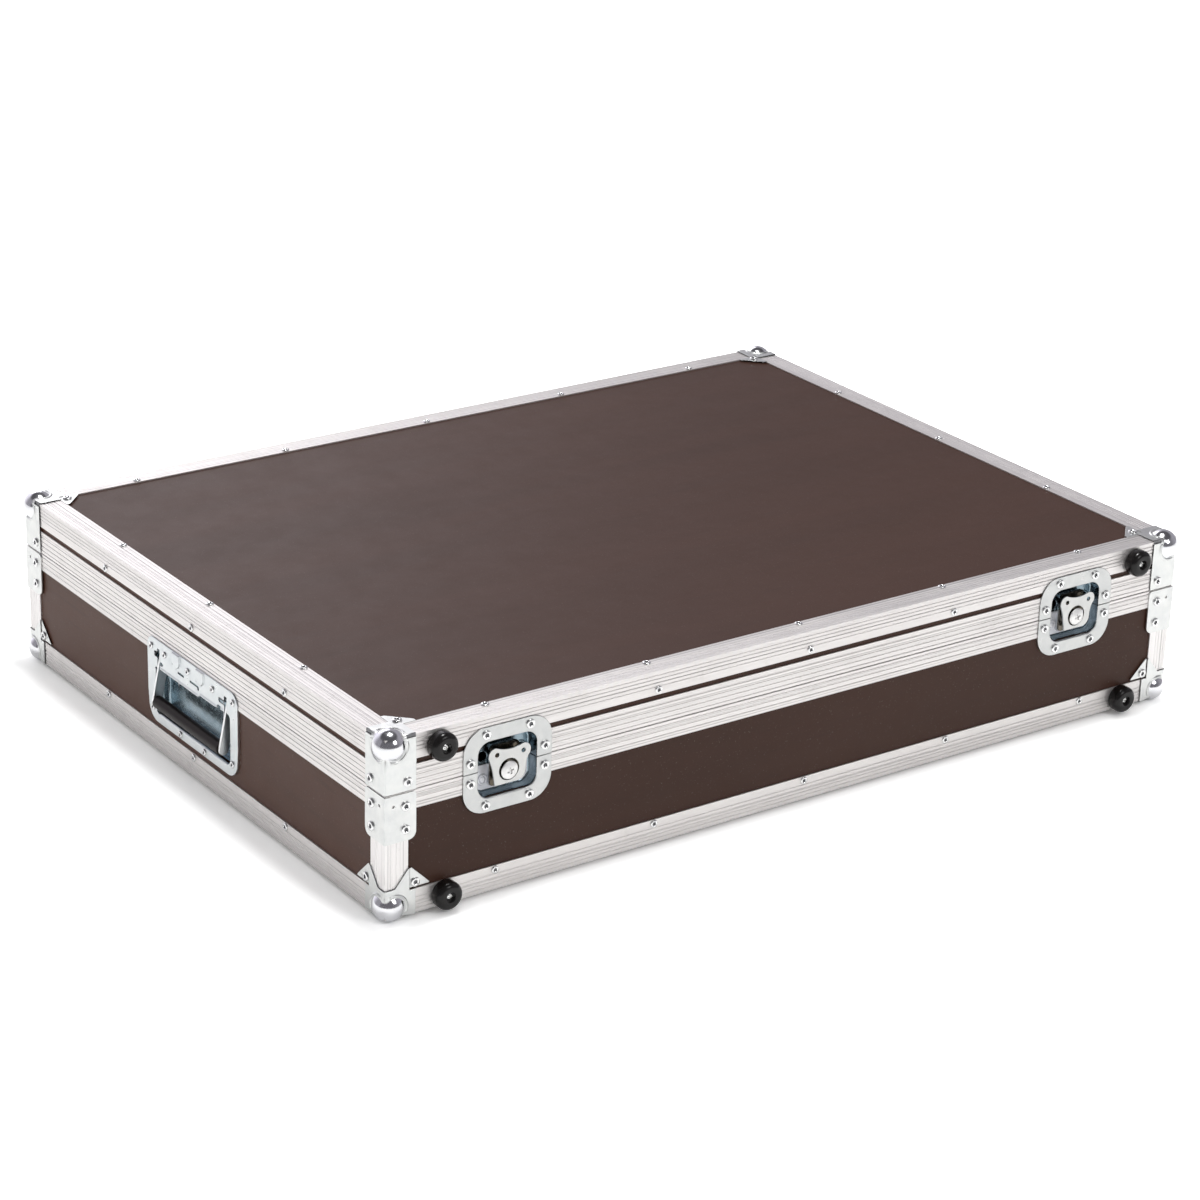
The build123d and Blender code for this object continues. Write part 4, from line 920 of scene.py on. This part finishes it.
def handle_dish(P):
    u, w, d = P.T
    f = slab(handle_flange(u, w), d, 0.02, sheet, 0.42)
    edge = band_edge(u)
    # spring housings and stiffening embossed on the band
    for c in (-26.6, 16.4):
        q = corner_max(np.abs(u - c) - 6.2, 98.6 - w, 5.8)
        boss = smax(slab(np.maximum(q, w - 112.2), d, 0.3, sheet + 1.7, 1.1), w - 112.2, 0.6)
        f = smin(f, boss, 0.7)
        slit = np.maximum(np.abs(u - c + 7.2) - 1.2, np.abs(w - 105.2) - 5.8)
        f = smax(f, -np.maximum(slit, -0.6 - d), 0.2)
    roll = np.hypot((w - edge - 1.6) * 0.9, d - sheet + 0.35) - 1.1
    f = smin(f, np.maximum(roll, np.abs(u) - 57.0), 0.8)
    # box behind
    q_box = np.maximum(np.abs(u) - 68.1, np.maximum(40.4 - w, w - 108.3))
    f = smin(f, slab(q_box + 0.3, d, BOX_D - 1.15, 0.6, 0.5), 0.2)
    k = np.clip(-d / -BOX_D, 0, 1)
    q_in = np.maximum(corner_max(np.abs(u) - 67.0 + 0.9 * k, 41.5 - w + 0.9 * k, 7.0), w - 107.2)
    room = smax(smax(q_in, BOX_D - d, 3.4), d - 0.1, 0.1)
    f = np.maximum(f, -room)
    # opening through the flange
    q_open = corner_max(corner_max(np.abs(u) - 67.0, 41.5 - w, 7.0), w - edge, 2.5)
    f = smax(f, -smax(q_open, BOX_D * 0.5 - d, 0.5), 1.3)
    # arm slots and the small punched holes beside them
    for s in (-1, 1):
        slot = np.maximum(np.abs(u - s * 60.05) - 2.2, np.abs(w - 94.0) - 10.3)
        f = smax(f, -np.maximum(slot, -5.0 - d), 0.3)
    for cu, cw, a, b in ((-63.6, 98.4, 8.8, 5.2), (-56.6, 91.3, 8.6, 3.2), (53.6, 98.0, 11.0, 4.4), (49.2, 90.6, 6.4, 3.4),
                         (-19.2, 95.2, 11.2, 1.7), (4.6, 95.2, 15.0, 1.7), (12.0, 93.8, 2.6, 3.4)):
        f = smax(f, -np.maximum(rrect(u - cu, w - cw, a, b, min(a, b) / 2 - 0.05), -2.5 - d), 0.3)
    # dimples on the box floor
    for cu in (-12.0, 30.0):
        rr = np.sqrt((u - cu) ** 2 + (w - 78.0) ** 2 + (d - BOX_D + 3.2) ** 2)
        f = smin(f, rr - 5.2, 0.8)
    # turned-back edge down to the panel, below the rim profile
    back = smax(slab(handle_flange(u, w), d, -t - 0.05, 0.4, 0.1), w - (b_low - 0.2), 0.1)
    back = np.maximum(back, -np.maximum(np.abs(u) - 67.0, np.maximum(41.5 - w, w - 107.2)))
    f = np.minimum(f, back)
    return np.maximum(f, -(np.hypot(d + 5.2, w - 97.7) - 2.1))


def handle_hidden(mid, n):
    q = np.maximum(np.abs(mid[:, 0]) - 68.4, np.maximum(40.2 - mid[:, 1], mid[:, 1] - 108.6))
    return ~((mid[:, 2] < 0.1) & (n[:, 2] < -0.7) & (q > 0))


def box_faces(mid, n):
    # the box inside takes the dark teal material, painted shade and reflection; cut faces by the slits take the dark
    # bore material, painted shade
    box = (mid[:, 2] < -0.9) & (np.abs(mid[:, 0]) < 67.9) & (mid[:, 1] > 40.6) & (mid[:, 1] < 108)
    cut = (mid[:, 2] < sheet - 0.35) & (mid[:, 2] > -0.9) & (mid[:, 1] > 89.0) & (mid[:, 1] < 112.0) & (np.abs(mid[:, 0]) < 69.0) & (np.abs(n[:, 2]) < 0.75)
    return np.where(box, 1, np.where(cut, 2, 0))


for side, s in (("left", -1), ("right", 1)):
    turn = np.array([[0, 0, s], [-1, 0, 0], [0, 1, 0]], float)
    field_piece("handle_%s_dish_plate" % side, handle_dish, (-81.5, 31.4, BOX_D - 2.4), (81.5, 113.8, 3.4),
                0.55, 0.3, [(turn, np.array([s * X0, 0, 0]))], [M_ZINC, M_BOX_PAINTED_SHADE, M_BORE_PAINTED_SHADE], "base",
                keep=handle_hidden, pick=box_faces, replaces="handle_%s_dish" % side)


# ---------------------------------------------------------------------------
# Torsion springs of the handles: wound wire with a leg on the box floor
# ---------------------------------------------------------------------------
def tube(path, r, seg=10):
    """Vertices and faces of a round wire along a path of points."""
    V, F = [], []
    side = None
    for i, p in enumerate(path):
        d = (path[min(i + 1, len(path) - 1)] - path[max(i - 1, 0)]).normalized()
        side = d.orthogonal().normalized() if side is None else (side - d * side.dot(d)).normalized()
        up = d.cross(side)
        V += [tuple((p + (side * math.cos(2 * math.pi * k / seg) + up * math.sin(2 * math.pi * k / seg)) * r) * MM) for k in range(seg)]
    for i in range(len(path) - 1):
        for k in range(seg):
            F.append((i * seg + k, i * seg + (k + 1) % seg, (i + 1) * seg + (k + 1) % seg, (i + 1) * seg + k))
    F.append(tuple(reversed(range(seg))))
    F.append(tuple((len(path) - 1) * seg + k for k in range(seg)))
    return V, F


bail_x, bail_z = X0 - 5.2, 97.7
V, F = [], []
for sx in (-1, 1):
    for s in (-1, 1):
        y_a = s * 40.0
        wire = 0.5
        path = [Vector((sx * (bail_x - 3.05), y_a + s * 0.55, bail_z - 25.5 + i * 3.2)) for i in range(8)]
        turns = 8.0
        for i in range(int(turns * 20) + 1):
            w = 2 * math.pi * i / 20
            path.append(Vector((sx * (bail_x - 3.05 * math.cos(w)), y_a + s * (0.55 + 10.0 * i / (turns * 20)), bail_z + 3.05 * math.sin(w))))
        v, f = tube(path, wire)
        F += [tuple(i + len(V) for i in q) for q in f]
        V += v
me = bpy.data.meshes.new("handle_spring_wire")
me.from_pydata(V, [], F)
me.materials.append(M_DARK)
me.polygons.foreach_set("use_smooth", [True] * len(F))
settle("handle_spring_wire", me, "base", "handle_springs")


# ---------------------------------------------------------------------------
# Foam padding: slabs with soft edges, crowned in the middle, pocketed on the hidden side
# ---------------------------------------------------------------------------
def lines(lo, hi, step, marks=()):
    r = (0.0, 0.25, 0.8, 1.7, 2.8, 4.0)
    v = {lo + e for e in r} | {hi - e for e in r}
    n = max(2, int((hi - lo - 8) / step))
    v |= {lo + 4 + (hi - lo - 8) * i / n for i in range(n + 1)}
    for m in marks:
        v |= {m - 0.3, m + 0.3}
    return np.array(sorted(v))


def foam_pad(name, lo, hi, axis, show, node, body, pockets=(), seed=0):
    """axis is the thin direction and show the sign of its visible side. A pocket is (u0, u1, v0, v1, depth) on the hidden side."""
    ui, vi = [k for k in range(3) if k != axis]
    mu = [m for p in pockets for m in p[:2]]
    mv = [m for p in pockets for m in p[2:4] if lo[vi] < m < hi[vi]]
    us, vs = lines(lo[ui], hi[ui], 14, mu), lines(lo[vi], hi[vi], 14, mv)
    U, W = np.meshgrid(us, vs, indexing="ij")
    e = np.minimum(np.minimum(U - lo[ui], hi[ui] - U), np.minimum(W - lo[vi], hi[vi] - W))
    R = 3.4
    drop = np.where(e < R, R - np.sqrt(np.maximum(R * R - (R - e) ** 2, 0)), 0)
    su, sv = (U - lo[ui]) / (hi[ui] - lo[ui]) * 2 - 1, (W - lo[vi]) / (hi[vi] - lo[vi]) * 2 - 1
    drop = drop + 0.55 * np.abs(su) ** 6 + 0.55 * np.abs(sv) ** 4
    rng = np.random.default_rng(seed)
    a, b, c, d = rng.uniform(0.5, 1.5, 4)
    drop = drop + 0.16 * (1 + np.sin(U * 0.021 * a + W * 0.017 * b + c * 3)) + 0.07 * (1 + np.sin(U * 0.09 * c - W * 0.07 * d))
    face, back = (hi[axis], lo[axis]) if show > 0 else (lo[axis], hi[axis])
    T = face - show * drop
    B = np.full(U.shape, back)
    for u0, u1, v0, v1, depth in pockets:
        B[(U > u0) & (U < u1) & (W > v0) & (W < v1)] = back + show * depth
    nu, nv = U.shape
    P = np.zeros((2, nu, nv, 3))
    for k, Z in ((0, T), (1, B)):
        P[k, ..., ui], P[k, ..., vi], P[k, ..., axis] = U, W, Z
    idx = np.arange(2 * nu * nv).reshape(2, nu, nv)
    F = []
    for k in (0, 1):
        g = idx[k]
        q = np.stack([g[:-1, :-1], g[1:, :-1], g[1:, 1:], g[:-1, 1:]], -1).reshape(-1, 4)
        F += q[:, ::-1].tolist() if k else q.tolist()
    ring = [(i, 0) for i in range(nu - 1)] + [(nu - 1, j) for j in range(nv - 1)]
    ring += [(i, nv - 1) for i in range(nu - 1, 0, -1)] + [(0, j) for j in range(nv - 1, 0, -1)]
    for p, q in zip(ring, ring[1:] + ring[:1]):
        F.append([int(idx[0][q]), int(idx[0][p]), int(idx[1][p]), int(idx[1][q])])
    me = bpy.data.meshes.new(name)
    me.from_pydata((P.reshape(-1, 3) * MM).tolist(), [], F)
    me.materials.append(M_FOAM)
    me.polygons.foreach_set("use_smooth", [True] * len(F))
    bm = bmesh.new()
    bm.from_mesh(me)
    bmesh.ops.recalc_face_normals(bm, faces=bm.faces)
    for ed in bm.edges:
        if len(ed.link_faces) == 2 and ed.calc_face_angle(0) > math.radians(50):
            ed.smooth = False
    bm.to_mesh(me)
    bm.free()
    o = settle(name, me, body, node)
    return o


fx, fy = X0 - 8.8, Y0 - 8.8
pad_z, side_pad, gap = 13.4, 14.0, 0.3
side_top = zp - 0.2 - 13.0
foam_pad("floor_foam_pad", (-fx + 14.3, -fy + 14.3, pad_z), (fx - 14.3, fy - 14.3, pad_z + 15), 2, 1, "base_floor_foam", "base", seed=1)
foam_pad("lid_foam_pad", (-fx, -fy, 143.3), (fx, fy, 155.8), 2, -1, "lid_foam", "lid", seed=2)
dish_cut = fy - 307.0
front_pockets = [(x - 32, x + 32, pad_z + 35, side_top + 1, dish_cut) for x in latch_xs]
foam_pad("side_foam_front", (-fx, -fy, pad_z), (fx, -fy + side_pad, side_top), 1, 1, "base_side_foams", "base", front_pockets, seed=3)
foam_pad("side_foam_back", (-fx, fy - side_pad, pad_z), (fx, fy, side_top), 1, -1, "base_side_foams", "base", seed=4)
# each end strip is in three lengths, the middle one thinner, in front of the handle box
for s, side in ((-1, "left"), (1, "right")):
    for part, ya, yb, x_out, seed in (("front", -fy + side_pad + gap, -72.0, fx, 5), ("middle", -71.7, 71.7, 413.2, 6), ("back", 72.0, fy - side_pad - gap, fx, 7)):
        xs = sorted((s * x_out, s * (fx - side_pad)))
        foam_pad("side_foam_%s_%s" % (side, part), (xs[0], ya, pad_z), (xs[1], yb, side_top), 0, -s, "base_side_foams", "base",
                 seed=seed + (3 if s > 0 else 0))


# ---------------------------------------------------------------------------
# Small broken edges on the carried-over metal
# ---------------------------------------------------------------------------
def soften(name, width, segments=2, angle=35):
    o = nodes[name]
    w = o.modifiers.new("weld", "WELD")
    w.merge_threshold = 1e-6
    b = o.modifiers.new("edges", "BEVEL")
    b.width = width * MM
    b.segments = segments
    b.limit_method = "ANGLE"
    b.angle_limit = math.radians(angle)
    b.use_clamp_overlap = True
    b.harden_normals = True


for n in nodes:
    if "angle" in n or "posts" in n or "rim" in n:
        soften(n, 0.18, 2)
    elif n.endswith("wing") or n.endswith("bail"):
        soften(n, 0.45, 3)
    elif n.endswith("hook") or "leaves" in n:
        soften(n, 0.3, 2)
    elif "braces" in n:
        soften(n, 0.35, 2)
    elif n.endswith("panel") or n.endswith("panels"):
        soften(n, 0.25, 1)


# ---------------------------------------------------------------------------
# Floor, lights and surroundings
# ---------------------------------------------------------------------------
FLOOR_GAIN = 1.52


def floor_plane():
    bm = bmesh.new()
    bmesh.ops.create_grid(bm, x_segments=8, y_segments=8, size=14)
    me = bpy.data.meshes.new("floor")
    bm.to_mesh(me)
    bm.free()
    o = bpy.data.objects.new("floor", me)
    scene.collection.objects.link(o)
    o.location = (0, 0, -0.0002)
    g = Graph("floor_paper")
    n1 = g.noise(0.6, 3, 0.5)
    col = g.mix(g.remap(n1, 0.3, 0.7, 0.0, 1.0), (0.88, 0.88, 0.88), (0.90, 0.90, 0.90))
    g.put("Base Color", col)
    g.put("Roughness", 0.9)
    g.put("Specular IOR Level", 0.0)
    # the paper is exposed a little past white
    lit = g.n.new("ShaderNodeBsdfDiffuse")
    g.l.new(g.mix(1.0, col, (FLOOR_GAIN,) * 3, "MULTIPLY"), lit.inputs["Color"])
    seen = g.n.new("ShaderNodeLightPath")
    both = g.n.new("ShaderNodeMixShader")
    g.l.new(seen.outputs["Is Camera Ray"], both.inputs[0])
    g.l.new(g.b.outputs[0], both.inputs[1])
    g.l.new(lit.outputs[0], both.inputs[2])
    g.l.new(both.outputs[0], g.out.inputs["Surface"])
    me.materials.append(g.m)
    return o


floor_plane()


def softbox(name, at, aim, w, h, power, colour=(1, 1, 1)):
    d = bpy.data.lights.new(name, "AREA")
    d.shape = "RECTANGLE"
    d.size, d.size_y = w, h
    d.energy = power
    d.color = colour
    o = bpy.data.objects.new(name, d)
    o.location = at
    o.rotation_euler = (Vector(aim) - Vector(at)).to_track_quat("-Z", "Y").to_euler()
    o.visible_camera = False
    scene.collection.objects.link(o)
    return o


softbox("top_box", (0.20, 0.05, 3.2), (0, 0, 0), 0.7, 0.7, 74)
softbox("key_box", (0.6, -3.0, 2.0), (0, 0, 0), 1.1, 1.1, 22)
softbox("back_box", (0.9, 4.0, 2.2), (0, 0, 0.1), 2.6, 1.8, 24)

WALL_R, WALL_L = 0.30, 0.72
world = bpy.data.worlds.new("studio")
scene.world = world
world.use_nodes = True
wn, wl = world.node_tree.nodes, world.node_tree.links
wn.clear()
w_out = wn.new("ShaderNodeOutputWorld")
w_mix = wn.new("ShaderNodeMixShader")
w_amb = wn.new("ShaderNodeBackground")
w_room = wn.new("ShaderNodeBackground")
w_lp = wn.new("ShaderNodeLightPath")
w_amb.inputs[0].default_value = (1, 1, 1, 1)
w_amb.inputs[1].default_value = 0.74
w_room.inputs[0].default_value = (0.10, 0.095, 0.105, 1)
w_room.inputs[1].default_value = 1.0
# what polished metal mirrors: a dim room with a bright wall low down behind the case, brighter towards its left
w_tc = wn.new("ShaderNodeTexCoord")
w_xyz = wn.new("ShaderNodeSeparateXYZ")
wl.new(w_tc.outputs["Generated"], w_xyz.inputs[0])


def w_math(op, x, y=0.0):
    nd = wn.new("ShaderNodeMath")
    nd.operation = op
    for i, v in enumerate((x, y)):
        if isinstance(v, bpy.types.NodeSocket):
            wl.new(v, nd.inputs[i])
        else:
            nd.inputs[i].default_value = v
    return nd.outputs[0]


def w_range(v, x0, x1, y0, y1):
    nd = wn.new("ShaderNodeMapRange")
    nd.interpolation_type = "SMOOTHSTEP"
    wl.new(v, nd.inputs[0])
    for i, x in enumerate((x0, x1, y0, y1)):
        nd.inputs[i + 1].default_value = x
    return nd.outputs[0]


azimuth = w_math("ARCTAN2", w_xyz.outputs[1], w_xyz.outputs[0])
rise = w_xyz.outputs[2]
wall = w_math("ADD", w_range(azimuth, -1.4, -0.2, 0.07, WALL_R), w_range(azimuth, 0.86, 1.22, 0.0, WALL_L))
wall = w_math("MULTIPLY", wall, w_range(azimuth, 1.7, 2.6, 1.0, 0.25))
wall = w_math("MULTIPLY", wall, w_range(rise, 0.55, 0.78, 1.0, 0.0))
wl.new(w_math("ADD", wall, 0.09), w_room.inputs[1])
w_room.inputs[0].default_value = (1.0, 0.965, 1.06, 1)
wl.new(w_lp.outputs["Is Glossy Ray"], w_mix.inputs[0])
wl.new(w_amb.outputs[0], w_mix.inputs[1])
wl.new(w_room.outputs[0], w_mix.inputs[2])
wl.new(w_mix.outputs[0], w_out.inputs["Surface"])
